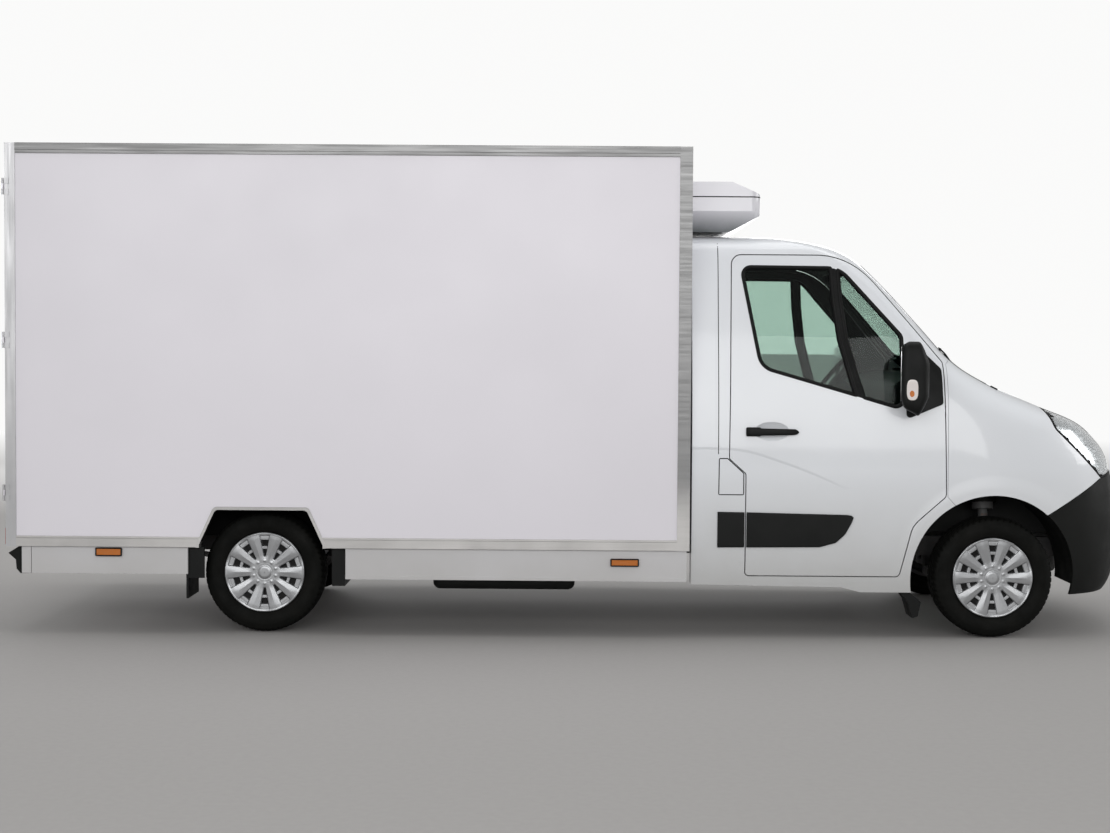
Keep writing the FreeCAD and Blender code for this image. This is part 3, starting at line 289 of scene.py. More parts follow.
def tyreFinish():
    # rubber: nearly black, dusted brown-grey in clouds, with a fine matt grain
    finish = newFinish("tyreRubber", (0.004, 0.004, 0.0035), 0.72, sockets={"Specular IOR Level": 0.12})
    dust = clouds(finish, 7.0, 6.0, to=(0.0, 0.5), within=(0.45, 0.8))
    dusty = blendColours(finish, dust, (0.0035, 0.0038, 0.0032), (0.012, 0.011, 0.0095))
    feed(finish, {"Base Color": dusty, "Roughness": clouds(finish, 18.0, 3.0, to=(0.62, 0.82))})
    setBump(finish, noise(finish, 900.0, 2.0), distance=0.0004, strength=0.3)
    return finish


def coverFinish():
    # wheel cover: silver lacquer with fine flake, and painted shade, near black, where the piece's own
    # values say window: the pocket floors stand for the dark seen through the openings
    sockets = {"Coat Weight": 0.2, "Coat Roughness": 0.1}
    finish = newFinish("coverSilver", (0.38, 0.385, 0.395), 0.3, 0.8, sockets)
    shade = addNode(finish, "Attribute", attribute_name="windowShade").outputs["Fac"]
    silver = blendColours(finish, clouds(finish, 1500.0, 1.0), (0.43, 0.44, 0.45), (0.34, 0.345, 0.355))
    feed(finish, {"Base Color": blendColours(finish, shade, silver, (0.006, 0.006, 0.006)),
                  "Roughness": clouds(finish, 14.0, 4.0, to=(0.34, 0.42))})
    setBump(finish, noise(finish, 1200.0, 1.0), distance=0.0001, strength=0.15)
    return finish


def glassFinish(name, colour):
    # window glass: a clear tint with a hardly visible ripple; shadow rays pass it, so that light gets in
    finish = newFinish(name, colour, 0.0, sockets={"Transmission Weight": 1.0, "IOR": 1.24})
    setBump(finish, noise(finish, 2.0, 0.0), distance=0.0006, strength=0.05)
    clear = addNode(finish, "BsdfTransparent", {"Color": (*colour, 1.0)}).outputs["BSDF"]
    mixShader(finish, addNode(finish, "LightPath").outputs["Is Shadow Ray"], clear)
    return finish


def lampFinish(name, colour, transmission):
    # moulded lens: fine vertical flutes
    sockets = {"Transmission Weight": transmission, "IOR": 1.5, "Coat Weight": 0.4}
    finish = newFinish(name, colour, 0.08, sockets=sockets)
    wave = addNode(finish, "TexWave", {"Vector": objectPlace(finish), "Scale": 40.0})
    setBump(finish, wave.outputs["Fac"], distance=0.0008, strength=0.3)
    return finish


def steelFinish(name, colour, rust):
    # chassis paint: satin with stone-grey road dirt and some rust in spots
    finish = newFinish(name, colour, 0.6)
    dirt = clouds(finish, 8.0, 6.0, to=(0.0, 0.8), within=(0.4, 0.75))
    spots = clouds(finish, 24.0, 6.0, to=(0.0, rust), within=(0.62, 0.72))
    dirty = blendColours(finish, dirt, colour, (0.06, 0.055, 0.05))
    feed(finish, {"Base Color": blendColours(finish, spots, dirty, (0.11, 0.05, 0.025)),
                  "Roughness": clouds(finish, 15.0, 4.0, to=(0.5, 0.8))})
    setBump(finish, noise(finish, 120.0, 4.0), distance=0.0006, strength=0.3)
    return finish


def clothFinish(name, colour, thread):
    # woven cloth: two crossed wave patterns make the weave, with a little sheen
    finish = newFinish(name, colour, 0.85, sockets={"Sheen Weight": 0.4, "Sheen Roughness": 0.4})
    inputs = {"Vector": objectPlace(finish), "Scale": thread, "Distortion": 0.6}
    weft, warp = (addNode(finish, "TexWave", inputs, bands_direction=way).outputs["Fac"] for way in "XZ")
    weave = calculate(finish, "ADD", weft, warp)
    share = levels(finish, weave, 0.2, 1.6)
    feed(finish, {"Base Color": blendColours(finish, share, scaled(colour, 0.75), scaled(colour, 1.25))})
    setBump(finish, weave, distance=0.0008, strength=0.4)
    return finish


# each rule with its finishes, whose values stand in the order of the rule's own
finishRules = (
    (paintFinish, {
        "cabPaint": ((0.72, 0.74, 0.77), (0.50, 0.50, 0.49), True),
        "skirtPaint": ((0.68, 0.68, 0.71), (0.47, 0.46, 0.45)),
        "evaporatorShell": ((0.72, 0.715, 0.75), (0.6, 0.6, 0.62)),
    }),
    (plasticFinish, {
        "trimPlastic": ((0.0055, 0.006, 0.0058), 0.48, 0.25),
        "bumperPlastic": ((0.005, 0.0055, 0.005), 0.52, 0.35),
        "dashPlastic": ((0.014, 0.015, 0.016), 0.6, 0.4),
        "doorLining": ((0.012, 0.0125, 0.0135), 0.62, 0.5),
        "floorMat": ((0.008, 0.008, 0.008), 0.75, 0.8), "archLining": ((0.003, 0.003, 0.003), 0.8, 0.6),
        "sealRubber": ((0.004, 0.0042, 0.0042), 0.5, 0.1),
    }),
    (metalFinish, {
        # the last value, dark grey from 0.9 m up, is painted shade on the higher rails
        "railAluminium": ((0.52, 0.51, 0.50), 0.45, (0.05, 1.0, 1.0), 0.3, (0.22, 0.22, 0.22)),
        "postAluminium": ((0.50, 0.50, 0.51), 0.42, (1.0, 1.0, 0.05), 0.3),
        "barSteel": ((0.62, 0.62, 0.63), 0.28, (1.0, 1.0, 0.08), 0.2),
        "floorAluminium": ((0.55, 0.55, 0.55), 0.45, (1.0, 1.0, 1.0), 0.5),
        "reflectorSilver": ((0.40, 0.41, 0.41), 0.24, (0.25, 0.25, 1.4), 2.0),
        "mirrorSilver": ((0.78, 0.79, 0.79), 0.1, (1.0, 1.0, 1.0), 0.0),
    }),
    (glassFinish, {"windowGlass": ((0.315, 0.385, 0.350),), "clearLens": ((0.95, 0.96, 0.97),)}),
    (lampFinish, {
        "amberLens": ((0.75, 0.22, 0.03), 0.35), "redLens": ((0.55, 0.015, 0.012), 0.3),
        "mirrorLens": ((0.86, 0.80, 0.77), 0.15),
    }),
    (steelFinish, {
        "chassisPaint": ((0.02, 0.02, 0.021), 0.25), "castSteel": ((0.09, 0.09, 0.09), 0.6),
        "engineCast": ((0.12, 0.12, 0.12), 0.15), "wheelRim": ((0.05, 0.05, 0.052), 0.1),
    }),
    (clothFinish,
     {"seatCloth": ((0.045, 0.047, 0.052), 380.0), "liningCloth": ((0.032, 0.033, 0.034), 520.0)}),
)
finishes = {name: makeFinish(name, *values)
            for makeFinish, rows in finishRules for name, values in rows.items()}
finishes |= {"boxSkin": boxSkinFinish(), "tyreRubber": tyreFinish(), "coverSilver": coverFinish(),
             "unitShell": unitFinish()}

# the nodes that wear each finish, left and right alike
nodeFinishes = {
    "cabPaint": "cab_shell front_wings bonnet fuel_flap cab_door",
    "bumperPlastic": "front_bumper arch_liners fuel_tank rear_bumper",
    "trimPlastic": "front_grilles cowl mudguards mirror",
    "dashPlastic": "dashboard steering_wheel",
    "skirtPaint": "side_skirts",
    "clearLens": "headlamps",
    "amberLens": "marker_lamps",
    "redLens": "rear_lamps",
    "windowGlass": "windscreen door_glass",
    "seatCloth": "cab_seats",
    "chassisPaint": "front_carrier front_subframe rear_axle chassis_rails crossmembers",
    "castSteel": "leaf_springs exhaust knuckle",
    "engineCast": "engine_block",
    "boxSkin": "box_floor box_sides box_roof box_front_wall rear_door",
    "railAluminium": "box_rails",
    "postAluminium": "rear_frame",
    "unitShell": "refrigeration_unit",
    "evaporatorShell": "evaporator",
    "tyreRubber": "tyre_front tyre_rear",
    "coverSilver": "wheel_front wheel_rear",
}
finishOf = {stem: name for name, stems in nodeFinishes.items() for stem in stems.split()}
for name, node in nodes.items():
    stem = name.replace("_left", "").replace("_right", "")
    node.data.materials.clear()
    node.data.materials.append(finishes[finishOf[stem]]["material"])
print("finishes made:", len(finishes))


# mesh helpers

def fullTurn(count):
    return np.linspace(0.0, 2 * np.pi, count + 1)[:-1]


def unit(rows):
    return rows / np.linalg.norm(rows, axis=-1, keepdims=True)


def meshPiece(name, points, faces):
    mesh = bpy.data.meshes.new(name)
    mesh.from_pydata(points, [], faces)
    mesh.polygons.foreach_set("use_smooth", np.ones(len(mesh.polygons), bool))
    mesh.update()
    return newPiece(name, mesh)


def gridPiece(name, points, closeRows=False, closeColumns=False, capEnds=False):
    # points is an array (rows, columns, 3); quads join neighbours, and capEnds closes first and last row
    rows, columns = points.shape[:2]
    index = np.arange(rows * columns).reshape(rows, columns)
    if closeRows:
        index = np.vstack([index, index[:1]])
    if closeColumns:
        index = np.hstack([index, index[:, :1]])
    quads = np.stack([index[:-1, :-1], index[:-1, 1:], index[1:, 1:], index[1:, :-1]], axis=-1)
    faces = quads.reshape(-1, 4).tolist()
    if capEnds:
        faces += [index[rows - 1, :columns].tolist(), index[0, :columns].tolist()[::-1]]
    return meshPiece(name, points.reshape(-1, 3), faces)


def rework(piece, change):
    # opens a piece's mesh, lets change(work) alter it and writes it back
    work = bmesh.new()
    work.from_mesh(piece.data)
    change(work)
    work.to_mesh(piece.data)
    work.free()
    piece.data.update()
    return piece


def mergeDoubles(work, distance):
    bmesh.ops.remove_doubles(work, verts=work.verts, dist=distance)


def splitAt(work, place, normal, **settings):
    # cuts the whole mesh along a plane
    everything = work.verts[:] + work.edges[:] + work.faces[:]
    bmesh.ops.bisect_plane(work, geom=everything, plane_co=place, plane_no=normal, **settings)


def joinPieces(name, pieces):
    # one object from several, their meshes copied together
    mesh = bpy.data.meshes.new(name)
    gathered = bmesh.new()
    for piece in pieces:
        gathered.from_mesh(piece.data)
        bpy.data.objects.remove(piece)
    gathered.to_mesh(mesh)
    gathered.free()
    return newPiece(name, mesh)


def tidyNormals(piece):
    # merges doubles and turns all faces outwards
    def change(work):
        mergeDoubles(work, 1e-6)
        bmesh.ops.recalc_face_normals(work, faces=work.faces)
    return rework(piece, change)


def softEdges(piece, angle=35.0):
    # smooth shading that keeps edges sharper than the angle
    limit = math.radians(angle)

    def change(work):
        for edge in work.edges:
            edge.smooth = edge.is_manifold and edge.calc_face_angle(0.0) < limit

    piece.data.polygons.foreach_set("use_smooth", np.ones(len(piece.data.polygons), bool))
    return rework(piece, change)


def readValues(items, label, width=3, kind=float):
    # one row of values per item of a mesh
    values = np.zeros(len(items) * width, kind)
    items.foreach_get(label, values)
    return values.reshape(-1, width)


def faceOut(piece, direction):
    # turns an open sheet over if most of it faces away from the direction
    if (readValues(piece.data.polygons, "normal") @ np.array(direction)).sum() < 0:
        piece.data.flip_normals()
    return piece


def applyModifiers(piece):
    shown = piece.evaluated_get(bpy.context.evaluated_depsgraph_get())
    mesh = bpy.data.meshes.new_from_object(shown)
    piece.modifiers.clear()
    piece.data = mesh
    return piece


def modify(piece, kind, **settings):
    modifier = piece.modifiers.new(kind, kind)
    for label, value in settings.items():
        setattr(modifier, label, value)
    return applyModifiers(piece)


def dress(piece, finishName, body):
    piece.data.materials.clear()
    piece.data.materials.append(finishes[finishName]["material"])
    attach(piece, body)
    return piece


def doorBody(sideName):
    return "cab_door_%s_body" % sideName


# floor, world and lamps

floorSpec = {
    "rings": ((0.0001, 0.0001, 1), (0.5, 8.0, 8), (12.0, 90.0, 6)), "turns": 96,
    "near": (0.36, 0.35, 0.342),
    "far": (0.93, 0.93, 0.925), "fade": (8.0, 24.0), "glow": (0.96, 0.96, 0.955, 1.0),
    "worldStrength": (0.42, 1.0),
}
lampTarget = Vector((0.0, 0.0, 1.2))
lampSpecs = {
    "overhead": {"place": (0.0, 0.0, 7.5), "size": (9.0, 5.0), "power": 230.0},
    "rightBank": {"place": (-0.5, -13.0, 4.0), "size": (14.0, 5.0), "power": 760.0},
    "leftBank": {"place": (-0.5, 13.0, 4.0), "size": (14.0, 5.0), "power": 520.0},
    "frontBank": {"place": (12.0, -1.0, 4.0), "size": (6.0, 4.0), "power": 300.0},
    "rearBank": {"place": (-12.0, 0.0, 4.0), "size": (6.0, 4.0), "power": 280.0},
}


def seenBy(finish, *kinds):
    # 1 for rays of the named kinds, else 0
    rays = addNode(finish, "LightPath").outputs
    seen = rays["Is %s Ray" % kinds[0]]
    for kind in kinds[1:]:
        seen = calculate(finish, "MAXIMUM", seen, rays["Is %s Ray" % kind])
    return seen


def makeFloor(spec):
    # a disc of rings: (r cos t, r sin t), grey near the truck and white for the eye far away
    rings = np.concatenate([np.linspace(*row) for row in spec["rings"]])[:, None]
    turn = fullTurn(spec["turns"])
    points = np.stack([rings * np.cos(turn), rings * np.sin(turn), 0.0 * rings * turn], axis=-1)
    floor = faceOut(gridPiece("studioFloor", points, closeColumns=True), upward)
    finish = newFinish("studioFloor", spec["near"], 0.8)
    away = addNode(finish, "VectorMath", {0: objectPlace(finish)}, operation="LENGTH").outputs["Value"]
    fade = levels(finish, away, *spec["fade"])
    near = blendColours(finish, clouds(finish, 30.0, 6.0), spec["near"], scaled(spec["near"], 0.96))
    feed(finish, {"Base Color": blendColours(finish, fade, near, spec["far"])})
    glow = addNode(finish, "Emission", {"Color": spec["glow"], "Strength": 1.0}).outputs["Emission"]
    seen = seenBy(finish, "Camera", "Glossy", "Transmission")
    mixShader(finish, calculate(finish, "MULTIPLY", seen, fade), glow)
    floor.data.materials.append(finish["material"])


def makeWorld(spec):
    world = bpy.data.worlds.new("studioWorld")
    world.use_nodes = True
    bpy.context.scene.world = world
    sky = {"tree": world.node_tree, "shader": world.node_tree.nodes["Background"]}
    sky["shader"].inputs["Color"].default_value = spec["glow"]
    seen = seenBy(sky, "Camera", "Transmission")
    feed(sky, {"Strength": levels(sky, seen, 0.0, 1.0, *spec["worldStrength"])})


def makeLamps(specs):
    for name, spec in specs.items():
        data = bpy.data.lights.new(name, "AREA")
        data.shape = "RECTANGLE"
        data.size, data.size_y = spec["size"]
        data.energy = spec["power"]
        lamp = newPiece(name, data)
        lamp.location = spec["place"]
        lamp.rotation_euler = (lampTarget - Vector(spec["place"])).to_track_quat("-Z", "Y").to_euler()


bpy.context.scene.view_settings.view_transform = "Standard"
makeFloor(floorSpec)
makeWorld(floorSpec)
makeLamps(lampSpecs)
print("stage ready")


# tyres: the section is a run of arcs, cut by grooves and carried round the axle

tyreSpec = {
    "radius": 0.3398, "halfWidth": 0.1075, "flange": 0.2175, "bead": 0.0755, "rim": 0.2035,
    "offRoad": 0.0002,
    "shoulder": ((0.026, 0.008), (0.012, 0.017), (0.005, 0.03)), "treadHalf": 0.0775, "treadDrop": 0.005,
    "grooves": (-0.054, -0.0185, 0.0185, 0.054), "grooveHalf": 0.0042, "grooveEdge": 0.0006,
    "grooveDepth": 0.0075,
    "lugs": 60, "lugGap": 0.16, "lugEdge": 0.06, "lugSlant": 9.0, "rib": (0.0225, 0.0235),
    "outerLugs": (0.056, 0.058),
    "innerCut": 0.45, "treadFrom": (0.02, 0.012), "turns": 360, "ringRadii": (0.236, 0.292),
    "ringHalf": 0.0016,
    "ringHeight": 0.0011,
}


def smoothStep(value, low, high):
    share = np.clip((value - low) / (high - low), 0.0, 1.0)
    return share * share * (3.0 - 2.0 * share)


def roundAxle(centre, side, radius, out, angle):
    # (x, y, z) = centre + (r sin t, side out, r cos t)
    radius, out, angle = np.broadcast_arrays(radius, out, angle)
    return np.stack([centre[0] + radius * np.sin(angle), centre[1] + side * out,
                     centre[2] + radius * np.cos(angle)],
                    axis=-1)


def turnedPiece(name, section, centre, side, count):
    # a closed section of (radius, outward distance) turned about the axle
    outline = np.array(section, float)
    points = roundAxle(centre, side, outline[None, :, 0], outline[None, :, 1], fullTurn(count)[:, None])
    return softEdges(tidyNormals(gridPiece(name, points, closeRows=True, closeColumns=True)), 30.0)


def arcThrough(first, middle, last, count):
    # points on the circle through three points, as an array (count, 2)
    a, b, c = (np.array(p, float) for p in (first, middle, last))
    centre = np.linalg.solve(np.array([b - a, c - a]) * 2.0, np.array([b @ b - a @ a, c @ c - a @ a]))
    way = np.unwrap([math.atan2(*(p - centre)[::-1]) for p in (a, b, c)])
    turn = np.linspace(way[0], way[2], count)
    return centre + np.linalg.norm(a - centre) * np.stack([np.cos(turn), np.sin(turn)], axis=-1)


def tyreSection(spec):
    # (radius, y) from the inner bead over the tread to the outer bead
    radius, half, flange, treadHalf = spec["radius"], spec["halfWidth"], spec["flange"], spec["treadHalf"]
    first, middle, last = ((radius - down, half - inward) for down, inward in spec["shoulder"])
    belly = (0.5 * (spec["rim"] + radius), half)
    wall = arcThrough((flange + 0.002, spec["bead"] + 0.003), belly, first, 20)
    foot = [[spec["rim"], spec["bead"]], [flange, spec["bead"]]]
    side = np.vstack([foot, wall, arcThrough(first, middle, last, 7)[1:]])
    widths = (spec["grooveHalf"], spec["grooveHalf"] + spec["grooveEdge"])
    edges = [groove + sign * width for groove in spec["grooves"] for sign in (-1, 1) for width in widths]
    across = np.unique(np.round(np.concatenate([np.linspace(-treadHalf, treadHalf, 19), edges]), 5))
    tread = np.stack([radius - spec["treadDrop"] * (across / treadHalf) ** 2, across], axis=-1)[1:-1]
    return np.vstack([side * [1, -1], tread, side[::-1]])


def makeTyre(name, centreX, centreY, spec):
    section, angle = tyreSection(spec), fullTurn(spec["turns"])[:, None]
    radius, across, angle = np.broadcast_arrays(section[None, :, 0], section[None, :, 1], angle)
    away = np.abs(across)
    # grooves round the tread, and slanted gaps between the lugs outside the middle rib
    groove = sum(1.0 - smoothStep(np.abs(across - g), spec["grooveHalf"],
                                  spec["grooveHalf"] + spec["grooveEdge"])
                 for g in spec["grooves"])
    phase = (angle * spec["lugs"] / (2 * np.pi) + across * spec["lugSlant"] * np.sign(across)) % 1.0
    gap = 1.0 - smoothStep(np.abs(phase - 0.5), spec["lugGap"] * 0.5,
                           spec["lugGap"] * 0.5 + spec["lugEdge"])
    onTread = smoothStep(radius, *(spec["radius"] - down for down in spec["treadFrom"]))
    lugDepth = spec["innerCut"] + (1.0 - spec["innerCut"]) * smoothStep(away, *spec["outerLugs"])
    cut = np.maximum(groove, gap * smoothStep(away, *spec["rib"]) * lugDepth) * onTread
    rings = sum(np.exp(-((radius - r) / spec["ringHalf"]) ** 2) for r in spec["ringRadii"])
    sideways = np.sign(across) * rings * spec["ringHeight"] * (1.0 - onTread)
    out = across + np.where(away > spec["treadHalf"] + 0.0005, sideways, 0.0)
    centre = (centreX, centreY, spec["radius"] + spec["offRoad"])
    points = roundAxle(centre, 1, radius - spec["grooveDepth"] * cut, out, angle)
    tyre = tidyNormals(gridPiece("road_tyre_" + name, points, closeRows=True, closeColumns=True))
    dress(tyre, "tyreRubber", "wheel_%s_body" % name)
    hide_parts("tyre_" + name)


# wheel covers: a height over the polar plane, with ten spokes and two windows in each slot;
# behind them the steel wheel and the brake disc, as sections of (radius, outward distance)

coverSpec = {
    "slots": 10, "slotNear": 0.088, "slotFar": 0.2095, "slotHalfNear": 0.0075, "slotHalfFar": 0.0295,
    "slotEdge": (-0.004, 0.001), "spokeRise": 0.0070, "crown": 0.0028, "crownHalf": 0.06,
    "crownFrom": (0.06, 0.1),
    "windows": ((0.147, 0.182, 0.0145, 0.0225), (0.091, 0.129, 0.0040, 0.0115)), "windowDepth": 0.020,
    "edge": 0.0014,
    "dish": ((0.0, 0.030, 0.033, 0.039, 0.046, 0.120, 0.195, 0.214, 0.220, 0.2235, 0.2255),
             (0.0955, 0.095, 0.0935, 0.090, 0.0905, 0.0935, 0.0965, 0.0962, 0.0975, 0.096, 0.091)),
    "radii": ((0.002, 0.033, 6), (0.034, 0.09, 14), (0.092, 0.212, 54), (0.214, 0.2255, 8)), "turns": 520,
    "dimple": (0.064, 0.006, 0.0065, 0.0022), "ring": (0.046, 0.0018, 0.0012), "shade": (1.6, -0.3),
}
wheelSection = [
    (0.194, -0.0825), (0.2165, -0.0825), (0.2165, -0.0755), (0.203, -0.0755), (0.199, -0.06), (0.199, 0.06),
    (0.203, 0.0755), (0.2165, 0.0755), (0.2165, 0.0825), (0.196, 0.0825), (0.192, 0.066), (0.191, 0.04),
    (0.186, 0.034),
    (0.150, 0.030), (0.100, 0.036), (0.064, 0.033), (0.062, 0.052), (0.030, 0.052), (0.030, -0.040),
    (0.062, -0.040),
    (0.062, 0.022), (0.100, 0.026), (0.150, 0.020), (0.186, 0.024), (0.191, 0.0), (0.191, -0.06)]
brakeSection = [(0.070, -0.006), (0.146, -0.006), (0.148, -0.004), (0.148, 0.014), (0.146, 0.016),
                (0.070, 0.016)]


def coverHeight(radius, angle, spec):
    # dish + spokes that stand over the slots - windows; also returns how deep in a window a point is
    pitch = 2 * np.pi / spec["slots"]
    local = (angle + pitch / 2) % pitch - pitch / 2
    along = radius * np.cos(local)
    beside = np.abs(radius * np.sin(local))

    def insideOf(near, far, halfNear, halfFar):
        # how far a point lies outside a slot that widens outwards, negative inside
        half = halfNear + np.clip((along - near) / (far - near), 0.0, 1.0) * (halfFar - halfNear)
        return np.maximum.reduce([beside - half, near - along, along - far])

    slot = insideOf(spec["slotNear"], spec["slotFar"], spec["slotHalfNear"], spec["slotHalfFar"])
    slotShare = 1.0 - smoothStep(slot, *spec["slotEdge"])
    crown = spec["crown"] * np.cos(np.clip(beside / spec["crownHalf"], 0.0, 1.0) * np.pi)
    height = np.interp(radius, *spec["dish"]) - spec["spokeRise"] * slotShare
    height = height - crown * smoothStep(radius, *spec["crownFrom"]) * (1 - slotShare)
    depth = np.maximum.reduce([1.0 - smoothStep(insideOf(*window), -spec["edge"], 0.0)
                               for window in spec["windows"]])
    # bumps in a ring inside the slots and a raised ring round the cap: rise exp(-((r - at) / wide)^2)
    at, long, wide, rise = spec["dimple"]
    dimple = np.exp(-((radius - at) / long) ** 2 - (beside / wide) ** 2) * rise
    at, wide, rise = spec["ring"]
    ring = np.exp(-((radius - at) / wide) ** 2) * rise
    return height - spec["windowDepth"] * depth + dimple + ring, depth


def makeWheel(name, centreX, centreY, side, spec):
    body, centre = "wheel_%s_body" % name, (centreX, centreY, tyreSpec["radius"])
    radii = np.unique(np.concatenate([np.linspace(*row) for row in spec["radii"]]))
    radius, angle = np.broadcast_arrays(radii[:, None], fullTurn(spec["turns"])[None, :])
    points = roundAxle(centre, side, radius, coverHeight(radius, angle, spec)[0], angle)
    cover = tidyNormals(gridPiece("wheel_cover_" + name, points, closeColumns=True))
    place = readValues(cover.data.vertices, "co") - np.array(centre)
    depth = coverHeight(np.hypot(place[:, 0], place[:, 2]), np.arctan2(place[:, 0], place[:, 2]), spec)[1]
    # windowShade: how much each point takes the near-black painted shade, on the floors and walls of the
    # window pockets
    shade = cover.data.attributes.new("windowShade", "FLOAT", "POINT")
    gain, offset = spec["shade"]
    shade.data.foreach_set("value", np.clip(depth * gain + offset, 0.0, 1.0).astype(np.float32))
    faceOut(cover, (0.0, side, 0.0))
    dress(cover, "coverSilver", body)
    wheel = turnedPiece("steel_wheel_" + name, wheelSection, centre, side, 96)
    dress(wheel, "wheelRim", body)
    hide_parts("wheel_" + name)
    brake = turnedPiece("brake_disc_" + name, brakeSection, centre, side, 72)
    dress(brake, "barSteel", body)


for wheelName, (centreX, centreY, side) in wheelPlaces.items():
    makeTyre(wheelName, centreX, centreY, tyreSpec)
    makeWheel(wheelName, centreX, centreY, side, coverSpec)
print("wheels made")


# sweeping helpers, blocks and discs

patchSpec = {"merge": 3e-5, "flattest": 0.52, "spread": 0.5}


def surfacePatch(node, facing, toward=None, side=0, spread=patchSpec["spread"]):
    # one smooth patch of a node's surface: from the face that lies furthest toward a direction it grows
    # over edges flatter than 30 degrees while cos(normal, facing) > spread; gives points, faces, normals
    # and the longest rim
    work = bmesh.new()
    work.from_mesh(node.data)
    mergeDoubles(work, patchSpec["merge"])
    facing = Vector(facing).normalized()
    aim = Vector(toward).normalized() if toward else facing
    allowed = {face for face in work.faces
               if side * face.calc_center_median().y >= 0 and face.normal.dot(facing) > spread}
    first = max(allowed, key=lambda face: face.calc_center_median().dot(aim))
    found, edge = {first}, [first]
    while edge:
        for line in edge.pop().edges:
            flat = line.calc_face_angle(0.0) < patchSpec["flattest"]
            for other in line.link_faces:
                if flat and other in allowed and other not in found:
                    found.add(other)
                    edge.append(other)
    index, points, normals, faces, links = {}, [], [], [], {}
    for face in sorted(found, key=lambda face: face.index):
        for vert in face.verts:
            if vert.index not in index:
                index[vert.index] = len(points)
                points.append(vert.co[:])
                normals.append(Vector())
            normals[index[vert.index]] += face.normal * face.calc_area()
        faces.append([index[vert.index] for vert in face.verts])
        for line in face.edges:
            if sum(other in found for other in line.link_faces) == 1:
                a, b = (index[vert.index] for vert in line.verts)
                links.setdefault(a, []).append(b)
                links.setdefault(b, []).append(a)
    work.free()
    return {"points": np.array(points), "faces": faces, "rim": longestChain(links),
            "normals": np.array([normal.normalized()[:] for normal in normals])}


def longestChain(links):
    # orders rim edges into closed chains and returns the longest
    best, left = [], set(links)
    while left:
        chain = [left.pop()]
        while following := [n for n in links[chain[-1]] if n in left]:
            chain.append(following[0])
            left.discard(following[0])
        if len(chain) > len(best):
            best = chain
    return best


def evenLoop(rows, values, count):
    # values along a closed loop of points, taken at evenly spaced places
    closed, carried = np.vstack([rows, rows[:1]]), np.vstack([values, values[:1]])
    reach = np.concatenate([[0.0], np.cumsum(np.linalg.norm(np.diff(closed, axis=0), axis=1))])
    even = np.linspace(0.0, reach[-1], count + 1)[:-1]
    return np.stack([np.interp(even, reach, carried[:, k]) for k in range(3)], axis=-1)


def rimSweep(name, patch, section, count=240):
    # a section of (inward, outward) pairs carried round a patch's rim, inward to the middle of the loop
    points, normals = patch["points"][patch["rim"]], patch["normals"][patch["rim"]]
    place, normal = evenLoop(points, points, count), unit(evenLoop(points, normals, count))
    tangent = unit(np.roll(place, -1, axis=0) - np.roll(place, 1, axis=0))
    inward = unit(np.cross(normal, tangent))
    if (inward * (place.mean(axis=0) - place)).sum() < 0:
        inward = -inward
    outline = np.array(section, float)
    rows = (place[:, None, :] + outline[None, :, :1] * inward[:, None, :]
            + outline[None, :, 1:] * normal[:, None, :])
    return tidyNormals(gridPiece(name, rows, closeRows=True, closeColumns=True))


def pathSweep(name, path, section, above=upward, scale=1.0):
    # a closed section of (beside, above) pairs carried along an open path, closed at both ends
    place = np.array(path, float)
    tangent = unit(np.gradient(place, axis=0))
    beside = unit(np.cross(tangent, np.array(above, float)))
    over = np.cross(beside, tangent)
    outline = np.array(section, float)
    size = (np.ones(len(place)) * scale)[:, None, None]
    rows = place[:, None, :] + size * (outline[None, :, :1] * beside[:, None, :]
                                       + outline[None, :, 1:] * over[:, None, :])
    return tidyNormals(gridPiece(name, rows, closeColumns=True, capEnds=True))


def roundSection(halfWide, halfTall, count, power=2.0):
    # superellipse |x/a|^p + |y/b|^p = 1 as (x, y) pairs
    turn = fullTurn(count)
    return np.stack([half * np.sign(wave) * np.abs(wave) ** (2 / power)
                     for half, wave in ((halfWide, np.cos(turn)), (halfTall, np.sin(turn)))], axis=-1)


def blockPiece(name, low, high, edge, segments):
    # a box between two corners with rounded edges
    low, high = np.minimum(low, high), np.maximum(low, high)
    pick = np.array([[0, 0, 0], [1, 0, 0], [1, 1, 0], [0, 1, 0], [0, 0, 1], [1, 0, 1], [1, 1, 1],
                     [0, 1, 1]])
    faces = [[3, 2, 1, 0], [4, 5, 6, 7], [0, 1, 5, 4], [1, 2, 6, 5], [2, 3, 7, 6], [3, 0, 4, 7]]
    block = meshPiece(name, low + pick * (high - low), faces)
    return softEdges(modify(block, "BEVEL", width=edge, segments=segments))


def discPiece(name, middle, across, up, half, thick, bulge=0.0, power=2.0, count=48):
    # a domed plate: |u/a|^p + |v/b|^p = r^p over its plane, height thick + bulge (1 - r^2), closed below
    across, up = unit(np.array(across, float)), unit(np.array(up, float))
    top = np.linspace(0.02, 0.97, 9)
    reach = np.concatenate([top, [0.99, 1.0, 1.0, 0.5, 0.02]])
    height = np.concatenate([thick + bulge * (1.0 - top ** 2), [thick * 0.92, thick * 0.7, 0.0, 0.0, 0.0]])
    flat = reach[:, None, None] * roundSection(*half, count, power)[None, :, :]
    lift = height[:, None, None] * np.cross(across, up)
    points = np.array(middle, float) + flat[..., :1] * across + flat[..., 1:] * up + lift
    return softEdges(tidyNormals(gridPiece(name, points, closeColumns=True, capEnds=True)), 50.0)


# rays against the solids

rayTrees = {}
farAway = 3.0


def castRay(name, start, way):
    # first place and normal of a solid along a ray, or two Nones
    if name not in rayTrees:
        mesh = nodes[name].data
        faces = [tuple(face.vertices) for face in mesh.polygons]
        rayTrees[name] = BVHTree.FromPolygons([vertex.co for vertex in mesh.vertices], faces)
    place, normal = rayTrees[name].ray_cast(Vector(start), Vector(way).normalized())[:2]
    return (None, None) if place is None else (np.array(place), np.array(normal))


